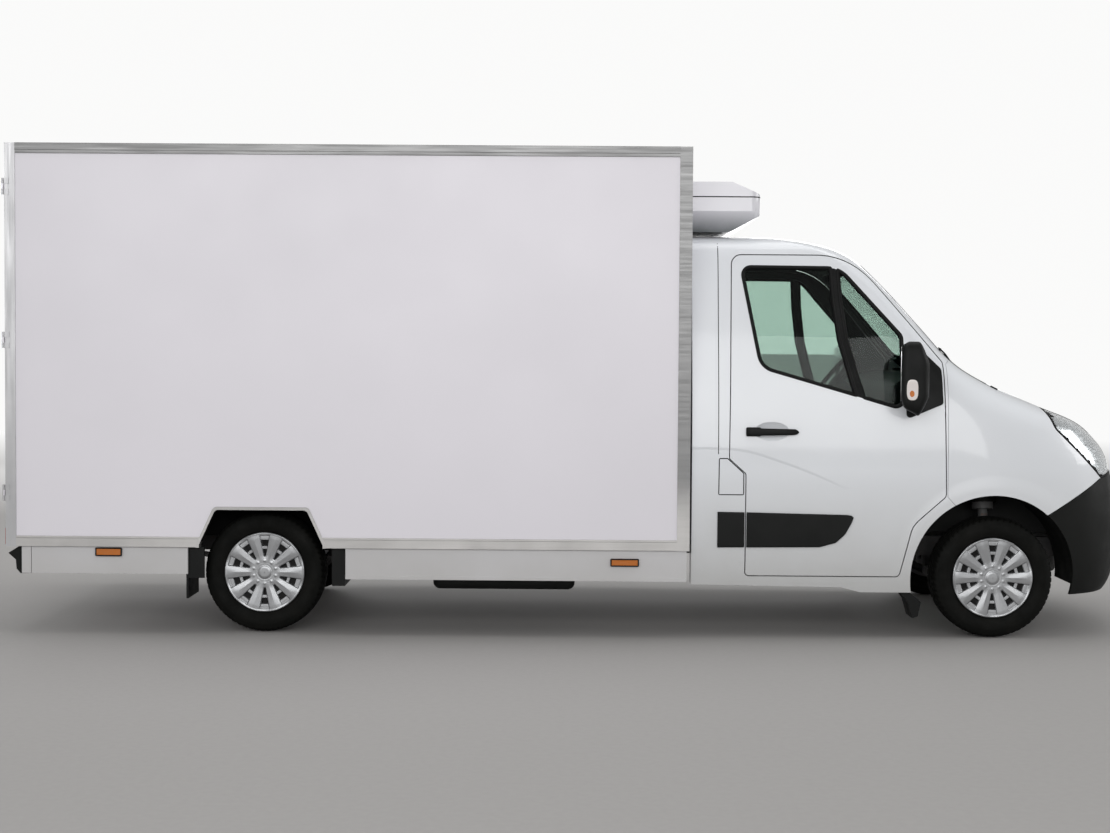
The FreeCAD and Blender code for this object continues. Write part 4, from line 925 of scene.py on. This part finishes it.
def sideDepth(name, distance, z, side):
    # Y of the node's outer surface on the truck's side, at a distance from the front axle
    place, normal = castRay(name, (ahead(distance), farAway * side, z), (0.0, -side, 0.0))
    if place is None:
        raise ValueError("no surface of %s at %.3f, %.3f" % (name, distance, z))
    return place[1]


def dressBlack(piece, body="truck", finishName="sealRubber"):
    return dress(piece, finishName, body)


# window seals, the bars between the panes and the windscreen's black border

windowSpec = {
    "seal": [(-0.006, 0.0120), (-0.005, 0.0138), (0.002, 0.0142), (0.007, 0.0125), (0.012, 0.0085),
             (0.0165, 0.0030),
             (0.0170, 0.0004), (0.0160, 0.0002), (0.001, 0.0002), (0.0008, 0.0118)],
    "screen": [(-0.006, 0.0065), (-0.004, 0.0078), (0.004, 0.0080), (0.012, 0.0045), (0.044, 0.0012),
               (0.045, 0.0004), (0.001, 0.0003), (0.0008, 0.006)],
    "bar": [(-0.0175, 0.0015), (-0.0155, 0.0035), (0.0155, 0.0035), (0.0175, 0.0015), (0.0175, -0.017),
            (-0.0175, -0.017)],
    "barLine": [(-0.893, 2.0), (-0.886, 1.895), (-0.870, 1.775), (-0.855, 1.671), (-0.822, 1.550),
                (-0.790, 1.441),
                (-0.765, 1.360)],
    "spread": 0.7, "screenFacing": (0.75, 0.0, 0.65), "screenCount": 420,
}


def makeWindowTrim(sideName, side, spec):
    pane, facing, door = nodes["door_glass_" + sideName], (0.0, side, 0.1), "cab_door_" + sideName
    seals = [rimSweep("seal", surfacePatch(pane, facing, toward, spread=spec["spread"]), spec["seal"])
             for toward in (backward, forward)]
    dressBlack(joinPieces("window_seals_" + sideName, seals), doorBody(sideName))
    line = np.array([(ahead(x), sideDepth(door, x, z, side), z) for x, z in spec["barLine"]])
    line = np.vstack([line[0] * 2 - line[1], line, line[-1] * 2 - line[-2]])
    bar = pathSweep("window_bar_" + sideName, line, spec["bar"], (0.0, side, 0.25))
    dressBlack(softEdges(bar), doorBody(sideName))


for sideName, side in sides.items():
    makeWindowTrim(sideName, side, windowSpec)
screenPatch = surfacePatch(nodes["windscreen"], windowSpec["screenFacing"])
dressBlack(rimSweep("windscreen_border", screenPatch, windowSpec["screen"], windowSpec["screenCount"]))
print("windows trimmed")


# rub strips, door handles and panel joints on the cab's sides

stripSpec = {
    "rear": (-1.556, -1.406), "door": (-1.3935, -0.798), "columns": 56, "rows": 16, "outside": 1.6,
    "low": [(-1.60, 0.508), (-0.984, 0.514), (-0.895, 0.539), (-0.845, 0.584), (-0.805, 0.655),
            (-0.797, 0.680)],
    "high": [(-1.60, 0.708), (-1.394, 0.706), (-0.83, 0.695), (-0.810, 0.692), (-0.797, 0.682)],
    "thickness": 0.011, "edge": 0.004, "edgeSteps": 3, "sharp": math.radians(50.0),
}
# the feet are (from, to, share of the bar's thickness they stay short, share of its height)
handleSpec = {
    "from": -1.400, "to": -1.107, "low": 1.130, "high": 1.181, "proud": 0.034, "thick": 0.018, "bow": 0.006,
    "slim": 0.86, "power": 3.2, "taper": 0.25, "sunk": 0.004, "edge": 0.008,
    "feet": ((-1.400, -1.318, 0.35, 1.0), (-1.157, -1.119, 0.7, 0.62)),
    "recess": {"x": -1.255, "z": 1.161, "halfWide": 0.098, "halfTall": 0.054, "depth": 0.018,
               "atSkin": 0.866},
}
jointSpec = {
    "x": -1.553, "low": 1.03, "high": 2.215, "steps": 60,
    "section": [(-0.0022, 0.0004), (0.0022, 0.0004), (0.0022, -0.002), (-0.0022, -0.002)],
}


def makeRubStrips(sideName, side, spec):
    # a grid between two curves over X, dropped on the panel along Y and thickened outwards
    share = np.linspace(0.0, 1.0, spec["rows"])[:, None]
    for label, node, body in (("rear", "cab_shell", "truck"),
                              ("door", "cab_door_" + sideName, doorBody(sideName))):
        xs = np.linspace(*spec[label], spec["columns"])
        low, high = (np.interp(xs, *zip(*spec[curve])) for curve in ("low", "high"))
        z = low * (1 - share) + high * share
        points = np.stack([np.broadcast_to(ahead(xs), z.shape), np.full_like(z, spec["outside"] * side), z],
                          axis=-1)
        strip = faceOut(gridPiece("rub_strip_%s_%s" % (label, sideName), points), (0.0, side, 0.0))
        modify(strip, "SHRINKWRAP", target=nodes[node], wrap_method="PROJECT", use_project_y=True,
               use_positive_direction=side < 0, use_negative_direction=side > 0)
        modify(strip, "SOLIDIFY", thickness=spec["thickness"], offset=1.0)
        modify(strip, "BEVEL", width=spec["edge"], segments=spec["edgeSteps"], angle_limit=spec["sharp"])
        dressBlack(softEdges(strip, 40.0), body, "trimPlastic")


def makeHandle(sideName, side, spec):
    # a bar with rounded ends that stands off the door on two feet, the rear one a lock block
    door, thick = "cab_door_" + sideName, spec["thick"]
    middleZ, half = (spec["low"] + spec["high"]) / 2, (spec["high"] - spec["low"]) / 2
    share = np.linspace(0.0, 1.0, 28)
    x = np.linspace(spec["from"], spec["to"], len(share))
    rear, front = (sideDepth(door, spec[end], middleZ, side) for end in ("from", "to"))
    proud = spec["proud"] - thick / 2 - spec["bow"] * (2 * share - 1) ** 2
    path = np.stack([ahead(x), rear * (1 - share) + front * share + side * proud, np.full_like(x, middleZ)],
                    axis=-1)
    taper = np.sqrt(np.clip(1.0 - (2 * share - 1) ** 10, 0.02, 1.0)) * (1.0 - spec["taper"] * share)
    section = roundSection(thick / 2, half * spec["slim"], 20, spec["power"])
    pieces = [softEdges(pathSweep("bar", path, section, scale=taper))]
    for start, end, short, height in spec["feet"]:
        inner = sideDepth(door, start, middleZ, side) - side * spec["sunk"]
        outer = inner + side * (spec["proud"] - thick * short)
        low = (ahead(start), inner, middleZ - half * height)
        high = (ahead(end), outer, middleZ + half * height)
        pieces.append(blockPiece("foot", low, high, spec["edge"], 4))
    dressBlack(joinPieces("door_handle_" + sideName, pieces), doorBody(sideName), "trimPlastic")


def makePanelJoint(sideName, side, spec):
    # the joint between the cab's rear corner panel and the door surround, a thin dark sealing line
    zs = np.linspace(spec["low"], spec["high"], spec["steps"])
    place = [(ahead(spec["x"]), sideDepth("cab_shell", spec["x"], z, side), z) for z in zs]
    dressBlack(pathSweep("panel_joint_" + sideName, place, spec["section"], (0.0, side, 0.0)))


for sideName, side in sides.items():
    makeRubStrips(sideName, side, stripSpec)
    makeHandle(sideName, side, handleSpec)
    makePanelJoint(sideName, side, jointSpec)
print("cab sides trimmed")


# headlamps: clear cover over a silver reflector with two bowls, in a black edge; a bowl's two discs are
# (name, finish, depth, share of the bowl's size, thickness, bulge)

headlampSpec = {
    "depth": 0.030, "coverThickness": 0.003, "bowls": ((0.780, 1.020, 0.048), (0.660, 0.930, 0.040)),
    "discs": (("ring", "barSteel", 0.0285, 1.0, 0.004, 0.002),
              ("lens", "clearLens", 0.0235, 0.74, 0.003, 0.010)),
    "edge": [(-0.0015, -0.004), (-0.0015, 0.0012), (0.003, 0.0016), (0.009, 0.0008), (0.009, -0.004)],
}


def makeHeadlamp(sideName, side, spec):
    patch = surfacePatch(nodes["headlamps"], (0.7, 0.62 * side, 0.3), side=side, spread=0.2)
    cover = meshPiece("headlamp_cover_" + sideName, patch["points"], patch["faces"])
    modify(cover, "SOLIDIFY", thickness=spec["coverThickness"], offset=-1.0)
    dress(cover, "clearLens", "truck")
    inside = patch["points"] - spec["depth"] * patch["normals"]
    housing = meshPiece("headlamp_reflector_" + sideName, inside, patch["faces"])
    wall = spec["depth"] - 1.5 * spec["coverThickness"]
    modify(housing, "SOLIDIFY", thickness=wall, offset=1.0, use_rim_only=True)
    dress(housing, "reflectorSilver", "truck")
    for number, (y, z, size) in enumerate(spec["bowls"], 1):
        place, normal = castRay("headlamps", (ahead(farAway), side * y, z), backward)
        across = np.cross(upward, normal)
        up = np.cross(normal, across)
        for label, finishName, depth, share, thick, bulge in spec["discs"]:
            name, half = "headlamp_%s_%s_%d" % (label, sideName, number), (share * size, share * size)
            disc = discPiece(name, place - normal * depth, across, up, half, thick, bulge)
            dress(disc, finishName, "truck")
    dressBlack(rimSweep("headlamp_edge_" + sideName, patch, spec["edge"], 200))
    return housing


reflectors = [makeHeadlamp(sideName, side, headlampSpec) for sideName, side in sides.items()]
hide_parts("headlamps")
print("headlamps made")


# what is seen of single faces: linings, bare metal and the dark wheel rooms

def finishFaces(name, finishName, pick):
    # gives the faces that pick(centre, normal) chooses a second finish; all faces are triangles
    mesh = nodes[name].data
    mesh.materials.append(finishes[finishName]["material"])
    corners = readValues(mesh.vertices, "co")[readValues(mesh.polygons, "vertices", 3, int)]
    normal = np.cross(corners[:, 1] - corners[:, 0], corners[:, 2] - corners[:, 0])
    normal /= np.maximum(np.linalg.norm(normal, axis=1, keepdims=True), 1e-12)
    index = readValues(mesh.polygons, "material_index", 1, np.int32).ravel()
    index[pick(corners.mean(axis=1), normal)] = len(mesh.materials) - 1
    mesh.polygons.foreach_set("material_index", index)


def facesTo(centre, normal, point):
    # cosine between each face's normal and the way to a point
    return (unit(np.array(point) - centre) * normal).sum(axis=1)


def within(centre, room):
    return np.all((centre > np.array(room[0])) & (centre < np.array(room[1])), axis=1)


roomSpec = {
    "cab": ((ahead(-1.69), -1.0, 0.545), (ahead(-0.20), 1.0, 2.27)), "cabMiddle": (ahead(-1.0), 0.0, 1.38),
    "cowl": ((ahead(-0.26), -0.80, 1.44), (ahead(0.03), 0.80, 1.60)), "matTop": 0.60, "floorTop": 0.63,
    "window": ((ahead(-1.45), -2.0, 1.2), (ahead(-0.49), 2.0, 2.11)),
    "windowMiddle": (ahead(-0.95), 0.95, 1.75),
    "arch": ((rearAxleX - 0.45, -1.1, 0.40), (rearAxleX + 0.45, 1.1, 0.78)),
    "archMiddle": (rearAxleX, 0.0, 0.34),
    "archInner": 0.69, "barsBehind": boxRear - 0.0065,
}


def inWheelBox(centre, normal):
    # the wheel boxes' faces that look at the tyre, not their tops
    beside = np.abs(normal[:, 1])
    looking = facesTo(centre, normal, roomSpec["archMiddle"]) * np.where(beside > 0.5, -1.0, 1.0) > -0.2
    outward = (beside < 0.5) | (np.sign(normal[:, 1]) == np.sign(centre[:, 1]))
    outer = np.abs(centre[:, 1]) > roomSpec["archInner"]
    return within(centre, roomSpec["arch"]) & outer & looking & outward & (normal[:, 2] < 0.5)


finishFaces("cab_shell", "liningCloth", lambda c, n: (
    within(c, roomSpec["cab"]) & (facesTo(c, n, roomSpec["cabMiddle"]) > 0.28)))
finishFaces("cab_shell", "trimPlastic", lambda c, n: (
    within(c, roomSpec["cowl"]) & (n[:, 2] > 0.2) & (n[:, 0] > 0.05)))
finishFaces("cab_shell", "floorMat", lambda c, n: (
    within(c, roomSpec["cab"]) & (c[:, 2] < roomSpec["matTop"]) & (n[:, 2] > 0.9)))
for sideName, side in sides.items():
    windowMiddle = roomSpec["windowMiddle"] * np.array((1, side, 1))
    finishFaces("cab_door_" + sideName, "doorLining", lambda c, n: n[:, 1] * side < -0.35)
    finishFaces("cab_door_" + sideName, "sealRubber", lambda c, n: (
        within(c, roomSpec["window"]) & (np.abs(n[:, 1]) < 0.6) & (facesTo(c, n, windowMiddle) > 0.0)))
    finishFaces("rear_door_" + sideName, "barSteel", lambda c, n: c[:, 0] < roomSpec["barsBehind"])
finishFaces("box_sides", "archLining", lambda c, n: within(c, roomSpec["arch"]) & (np.abs(n[:, 1]) < 0.5))
finishFaces("box_floor", "archLining", inWheelBox)
finishFaces("box_floor", "floorAluminium", lambda c, n: (n[:, 2] > 0.9) & (c[:, 2] < roomSpec["floorTop"]))
print("faces finished")


# a bowl in each door's skin behind the handle

def copyNode(name, nodeName):
    # a merged copy of a solid's mesh, to be worked on
    return rework(newPiece(name, nodes[nodeName].data.copy()), lambda work: mergeDoubles(work, 2e-5))


def placeVertices(piece, place):
    piece.data.vertices.foreach_set("co", place.ravel())
    piece.data.update()
    return piece


def makeRecess(sideName, side, spec):
    # the door again, less an egg whose middle stands one depth off the skin, half of its own radius,
    # so that it is cos 30 as wide where it meets the skin
    name, depth = "cab_door_" + sideName, spec["depth"]
    door = copyNode("door_panel_" + sideName, name)
    bpy.ops.mesh.primitive_uv_sphere_add(segments=96, ring_count=48, radius=1.0)
    egg = bpy.context.object
    egg.scale = (spec["halfWide"] / spec["atSkin"], 2.0 * depth, spec["halfTall"] / spec["atSkin"])
    egg.location = (ahead(spec["x"]), sideDepth(name, spec["x"], spec["z"], side) + side * depth, spec["z"])
    bpy.context.view_layer.update()
    egg.data.materials.append(finishes["cabPaint"]["material"])
    modify(door, "BOOLEAN", object=egg, solver="EXACT", material_mode="TRANSFER")
    bpy.data.objects.remove(egg)
    softEdges(door, 28.0)
    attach(door, "cab_door_%s_body" % sideName)
    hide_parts(name)


for sideName, side in sides.items():
    makeRecess(sideName, side, handleSpec["recess"])


# mirrors: housings swept back to their outer ends, with glass, lens and lamp; the discs are
# (name, finish, slot, middle, way across, half sizes, thickness, bulge, power, count)

mirrorSpec = {
    "plan": [(-0.535, 1.066), (-0.583, 1.262), (-0.430, 1.262), (-0.392, 1.066)], "low": 1.243,
    "high": 1.664,
    "power": 5.0, "drawIn": 0.0016, "leanBelow": (0.28, 0.050), "leanAbove": (0.72, 0.040),
    "footRise": (0.3, 0.056),
    "cutAt": 1.0335, "arm": ((-0.492, 1.030, 1.332), (-0.412, 1.085, 1.418)), "armEdge": 0.010,
    "discs": (
        ("lens", "mirrorLens", "lamp", (-0.521, 1.2600, 1.400), (-1, 0, 0), (0.031, 0.056), 0.0012, 0.0003,
         3.0, 48),
        ("bulb", "amberLens", "lamp", (-0.523, 1.2612, 1.379), (-1, 0, 0), (0.013, 0.018), 0.0003, 0.0001,
         2.0, 48),
        ("glass", "mirrorSilver", "glass", (-0.5605, 1.162, 1.487), (0.048, -0.196, 0), (0.076, 0.150),
         0.002, 0.0005,
         7.0, 72)),
}


def mirrorHousing(side, spec):
    # a ball of directions drawn out to a rounded box: each unit direction d is divided by
    # (|dx|^p + |dy|^p + |dz|^p)^(1/p), then laid on the plan's four corners and the height
    rise, turn = np.linspace(-np.pi / 2, np.pi / 2, 49)[:, None], fullTurn(96)[None, :]
    way = np.stack([np.cos(rise) * np.cos(turn), np.cos(rise) * np.sin(turn), np.sin(rise) + 0.0 * turn],
                   axis=-1)
    way /= (np.abs(way) ** spec["power"]).sum(axis=-1, keepdims=True) ** (1.0 / spec["power"])
    fore, out, up = np.moveaxis(way * 0.5 + 0.5, -1, 0)
    (x0, y0), (x1, y1), (x2, y2), (x3, y3) = spec["plan"]
    rear, front = x0 + (x1 - x0) * out, x3 + (x2 - x3) * out
    # the front face leans back below its middle and over its top, as the side outline asks
    (belowAt, below), (aboveAt, above) = spec["leanBelow"], spec["leanAbove"]
    lean = below * np.clip(belowAt - up, 0.0, 1.0) / belowAt
    lean = lean + above * np.clip(up - aboveAt, 0.0, 1.0) / (1 - aboveAt)
    x = rear + (front - lean * fore - rear) * fore
    y = y0 + (y1 - y0 - spec["drawIn"]) * out
    riseAt, footRise = spec["footRise"]
    foot = spec["low"] + footRise * (1.0 - fore) * np.clip(1.0 - up / riseAt, 0.0, 1.0)
    points = np.stack([ahead(x), side * y, foot + (spec["high"] - foot) * up], axis=-1)
    return tidyNormals(gridPiece("housing", points, closeColumns=True, capEnds=True))


def makeMirror(sideName, side, spec):
    def change(work):
        splitAt(work, (0, side * spec["cutAt"], 0), (0, side, 0), clear_outer=True)
        bmesh.ops.holes_fill(work, edges=[edge for edge in work.edges if edge.is_boundary], sides=0)
        bmesh.ops.triangulate(work, faces=work.faces[:])
    foot = rework(copyNode("foot", "mirror_" + sideName), change)
    arm = blockPiece("arm", *((ahead(x), side * y, z) for x, y, z in spec["arm"]), spec["armEdge"], 4)
    parts = [softEdges(foot, 32.0), arm, softEdges(mirrorHousing(side, spec), 60.0)]
    housing = joinPieces("mirror_housing_" + sideName, parts)
    dressBlack(housing, doorBody(sideName), "trimPlastic")
    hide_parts("mirror_" + sideName)
    for label, finishName, slotName, (x, y, z), across, *sizes in spec["discs"]:
        # across turns with the side, so that every disc looks outwards or back
        way = np.array(across) * (side, 1, 1)
        disc = discPiece("mirror_%s_%s" % (label, sideName), (ahead(x), y * side, z), way, upward, *sizes)
        dress(disc, finishName, doorBody(sideName))


for sideName, side in sides.items():
    makeMirror(sideName, side, mirrorSpec)
print("mirrors made")


# cooling unit: sides that lean in below and a gasket in the groove

unitSpec = {
    "breakHeight": 2.405, "leanIn": 0.085, "drop": 0.115, "halfWidth": 0.72, "gasket": (2.4835, 2.4895),
    "gasketProud": 0.0015, "gasketSunk": 0.009, "rayDrop": 0.004, "rays": 240,
    "rayAngle": math.radians(88.0),
}


def rayOutline(node, z, spec):
    # outer points of a node at one height, seen from the box front in rays of equal angle
    found = []
    for angle in np.linspace(-spec["rayAngle"], spec["rayAngle"], spec["rays"]):
        way = np.array((math.cos(angle), math.sin(angle), 0.0))
        found.append(castRay(node, np.array((boxFront, 0.0, z)) + way * farAway, -way)[0])
    return np.array([place for place in found if place is not None])


def makeCoolingUnit(spec):
    breakHeight, (low, high) = spec["breakHeight"], spec["gasket"]
    shell = copyNode("refrigeration_shell", "refrigeration_unit")
    rework(shell, lambda work: splitAt(work, (0, 0, breakHeight), upward))
    place = readValues(shell.data.vertices, "co")
    under = np.clip((breakHeight - place[:, 2]) / spec["drop"], 0.0, 1.0)
    place[:, 1] *= 1.0 - spec["leanIn"] * under / spec["halfWidth"]
    dress(softEdges(placeVertices(shell, place), 32.0), "unitShell", "truck")
    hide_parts("refrigeration_unit")
    ring = rayOutline("refrigeration_unit", low - spec["rayDrop"], spec)
    ring[:, 2] = low
    inner, outer, tall = -spec["gasketSunk"], spec["gasketProud"], high - low
    section = [(inner, 0.0), (outer, 0.0), (outer, tall), (inner, tall)]
    dressBlack(pathSweep("unit_gasket", ring, section))


makeCoolingUnit(unitSpec)
print("cooling unit made")


# wipers on the windscreen, the roof antenna, flap seals and lamp frames

wiperSpec = {
    "blades": ((-0.80, -0.10, 1.60), (-0.02, 0.62, 1.585)), "pivots": ((-0.06, -0.035), (0.62, -0.100)),
    "bladeStand": 0.011, "bladeHalf": (0.005, 0.008), "armHalf": (0.008, 0.0045), "lift": 0.02,
    "sag": 0.011,
    "reach": 0.42, "pivotStand": 0.012, "armEnd": (0.004, 0.0, 0.014), "armBow": 0.02,
    "cap": (0.017, 0.020, 0.006),
}
antennaSpec = {
    "x": -1.146, "base": (0.032, 0.020), "baseHeight": (0.005, 0.010), "rodFrom": (0.0, 0.0, 0.010),
    "rod": (-0.055, 0.0, 0.014), "rodHalf": 0.004,
}
bonnetSealSpec = {"y": 0.7945, "from": -0.17, "to": 0.05, "steps": 24, "stand": (0.0, 0.0, 0.003),
                  "half": 0.005}
flapSealSection = [(-0.0052, -0.0035), (-0.0008, -0.0035), (-0.0008, -0.0015), (-0.0052, -0.0015)]
lampFrameSection = [(-0.004, -0.006), (-0.004, 0.002), (0.003, 0.002), (0.003, 0.0002)]


def castDown(name, distance, y):
    return castRay(name, (ahead(distance), y, farAway), downward)


def makeWiper(number, blade, pivot, spec):
    # the blade follows the screen in a shallow bow, and the arm rises from the scuttle panel to its middle
    (y0, y1, bladeZ), (pivotY, pivotX) = blade, pivot
    ys = np.linspace(y0, y1, 30)
    heights = bladeZ + spec["lift"] - spec["sag"] * (1.0 - ((ys - ys.mean()) / spec["reach"]) ** 2)
    found = [castRay("windscreen", (ahead(farAway), y, z), backward) for y, z in zip(ys, heights)]
    path = np.array([place + normal * spec["bladeStand"] for place, normal in found if place is not None])
    bladePiece = pathSweep("blade", path, roundSection(*spec["bladeHalf"], 10), (0.5, 0.0, 0.7))
    share = np.linspace(0.0, 1.0, 14)[:, None]
    place, normal = castDown("cowl", pivotX, pivotY)
    foot = place + normal * spec["pivotStand"]
    arm = foot + share * (path[len(path) // 2] + np.array(spec["armEnd"]) - foot)
    arm[:, 2] += spec["armBow"] * np.sin(np.pi * share[:, 0])
    taper = np.linspace(1.3, 0.8, len(share))
    armPiece = pathSweep("arm", arm, roundSection(*spec["armHalf"], 10), (0.3, 0.0, 1.0), taper)
    radius, thick, bulge = spec["cap"]
    cap = discPiece("cap", place, (0, 1, 0), np.cross(normal, (0, 1, 0)), (radius, radius), thick, bulge,
                    2.0, 24)
    dressBlack(joinPieces("wiper_%d" % number, [bladePiece, armPiece, cap]), finishName="trimPlastic")


def makeAntenna(spec):
    # a low foot on the roof with a short stub that leans back
    place = castDown("cab_shell", spec["x"], 0.0)[0]
    base = discPiece("base", place, (1, 0, 0), (0, 1, 0), spec["base"], *spec["baseHeight"], 2.2, 32)
    rod = place + spec["rodFrom"] + np.linspace(0.0, 1.0, 8)[:, None] * np.array(spec["rod"])
    section = roundSection(spec["rodHalf"], spec["rodHalf"], 10)
    mast = pathSweep("mast", rod, section, (0.0, 1.0, 0.0), np.linspace(1.4, 0.8, 8))
    dressBlack(joinPieces("roof_antenna", [base, mast]), finishName="trimPlastic")


def makeBonnetSeal(sideName, side, spec):
    # the dark rubber between wing and bonnet, from the scuttle panel down to where the gap turns narrow
    xs = np.linspace(spec["from"], spec["to"], spec["steps"])
    found = [castDown("front_wings", x, side * spec["y"])[0] for x in xs]
    line = [place + spec["stand"] for place in found if place is not None]
    dressBlack(pathSweep("bonnet_seal_" + sideName, line, roundSection(spec["half"], spec["half"], 12)))


for number, (blade, pivot) in enumerate(zip(wiperSpec["blades"], wiperSpec["pivots"]), 1):
    makeWiper(number, blade, pivot, wiperSpec)
makeAntenna(antennaSpec)
for sideName, side in sides.items():
    makeBonnetSeal(sideName, side, bonnetSealSpec)
flapPatch = surfacePatch(nodes["fuel_flap"], (0, -1, 0.1), spread=0.7)
dressBlack(rimSweep("fuel_flap_seal", flapPatch, flapSealSection, 160))
lampPatches = [surfacePatch(nodes["marker_lamps"], (0.0, side, 0.0), toward, side, 0.9)
               for side in sides.values() for toward in (forward, backward)]
lampFrames = [rimSweep("frame", patch, lampFrameSection, 96) for patch in lampPatches]
dressBlack(joinPieces("marker_lamp_frames", lampFrames), finishName="trimPlastic")
print("small parts made")


# seats: pads blown up as cloth from slightly smaller prisms, with sewn channels, on a plastic base

seatSpec = {
    "cushion": [(-1.430, 0.802), (-1.430, 0.878), (-1.400, 0.906), (-1.040, 0.950), (-0.985, 0.930),
                (-0.974, 0.880),
                (-0.990, 0.815), (-1.010, 0.802)],
    "back": [(-1.480, 0.922), (-1.614, 1.470), (-1.604, 1.500), (-1.560, 1.512), (-1.535, 1.496),
             (-1.398, 0.950),
             (-1.410, 0.925)],
    "rest": [(-1.640, 1.575), (-1.640, 1.740), (-1.620, 1.752), (-1.590, 1.752), (-1.570, 1.735),
             (-1.570, 1.585),
             (-1.585, 1.572), (-1.620, 1.567)],
    "pads": {"driver_seat": ((-0.682, -0.188),), "bench_seat": ((-0.112, 0.326), (0.334, 0.772))},
    "restHalf": 0.118, "voxel": 0.014, "restVoxel": 0.010, "inset": 0.006, "cap": 0.022, "pressure": 4.0,
    "frames": 20,
    "channelDepth": 0.007, "channelHalf": 0.009, "channels": (-0.145, 0.145), "sitter": (0.75, 0.0, 0.66),
    "faces": (0.35, 0.75), "post": ((-1.588, 1.470), (-1.604, 1.600)), "postHalf": 0.006,
    "postApart": 0.055,
    "base": ((-1.450, 0.556), (-1.030, 0.795)), "baseInset": 0.035, "baseEdge": 0.012, "relax": 0.5,
    "relaxTimes": 4, "quality": 5, "soft": 80.0,
}


def prismPiece(outline, y0, y1, inset):
    # a side outline carried from y0 to y1 and drawn in toward its middle
    flat = np.array(outline, float)
    way = flat - flat.mean(axis=0)
    flat = flat.mean(axis=0) + way * (1.0 - inset / np.linalg.norm(way, axis=1, keepdims=True))
    across = np.linspace(y0 + inset, y1 - inset, 3)
    points = np.stack([np.stack([ahead(flat[:, 0]), np.full(len(flat), y), flat[:, 1]], axis=-1)
                       for y in across])
    return tidyNormals(gridPiece("pad", points, closeColumns=True, capEnds=True))


def blowUp(piece, voxel, spec):
    # remesh, simulate the cover under pressure without gravity, cap how far each point moves and refine
    modify(piece, "REMESH", mode="VOXEL", voxel_size=voxel)
    modify(piece, "SMOOTH", factor=spec["relax"], iterations=spec["relaxTimes"])
    start = readValues(piece.data.vertices, "co")
    cloth = piece.modifiers.new("cover", "CLOTH")
    cloth.settings.quality = spec["quality"]
    cloth.settings.use_pressure = True
    cloth.settings.uniform_pressure_force = spec["pressure"]
    cloth.settings.effector_weights.gravity = 0.0
    cloth.point_cache.frame_start, cloth.point_cache.frame_end = 1, spec["frames"]
    for number in range(1, spec["frames"] + 1):
        bpy.context.scene.frame_set(number)
    applyModifiers(piece)
    moved = readValues(piece.data.vertices, "co") - start
    length = np.maximum(np.linalg.norm(moved, axis=1, keepdims=True), 1e-9)
    placeVertices(piece, start + moved * np.minimum(1.0, spec["cap"] / length))
    bpy.context.scene.frame_set(1)
    return modify(piece, "SUBSURF", levels=1, render_levels=1)


def sewChannels(piece, middle, spec):
    # two channels up each pad: depth d exp(-((y - line) / w)^2) where the surface faces the sitter
    normal, place = (readValues(piece.data.vertices, label) for label in ("normal", "co"))
    facing = smoothStep(normal @ np.array(spec["sitter"]), *spec["faces"])
    press = sum(np.exp(-((place[:, 1] - middle - line) / spec["channelHalf"]) ** 2)
                for line in spec["channels"])
    return placeVertices(piece, place - normal * (spec["channelDepth"] * press * facing)[:, None])


def makeSeat(name, pads, spec):
    soft, hard, inset = [], [], spec["inset"]
    for y0, y1 in pads:
        middle, half = (y0 + y1) / 2, spec["restHalf"]
        for outline in (spec["cushion"], spec["back"]):
            pad = blowUp(prismPiece(outline, y0, y1, inset), spec["voxel"], spec)
            soft.append(sewChannels(pad, middle, spec))
        rest = prismPiece(spec["rest"], middle - half, middle + half, inset)
        soft.append(blowUp(rest, spec["restVoxel"], spec))
        for y in (middle - spec["postApart"], middle + spec["postApart"]):
            post = [(ahead(x), y, z) for x, z in spec["post"]]
            section = roundSection(spec["postHalf"], spec["postHalf"], 12)
            hard.append(pathSweep("post", post, section, (0.0, 1.0, 0.0)))
    (rear, bottom), (front, top) = spec["base"]
    low = (ahead(rear), pads[0][0] + spec["baseInset"], bottom)
    high = (ahead(front), pads[-1][1] - spec["baseInset"], top)
    hard.append(blockPiece("base", low, high, spec["baseEdge"], 3))
    cover = joinPieces(name + "_pads", [softEdges(piece, spec["soft"]) for piece in soft])
    dress(cover, "seatCloth", "truck")
    dress(joinPieces(name + "_base", hard), "dashPlastic", "truck")
    return cover


seatCovers = [makeSeat(name, pads, seatSpec) for name, pads in seatSpec["pads"].items()]
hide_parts("cab_seats")
print("seats made")
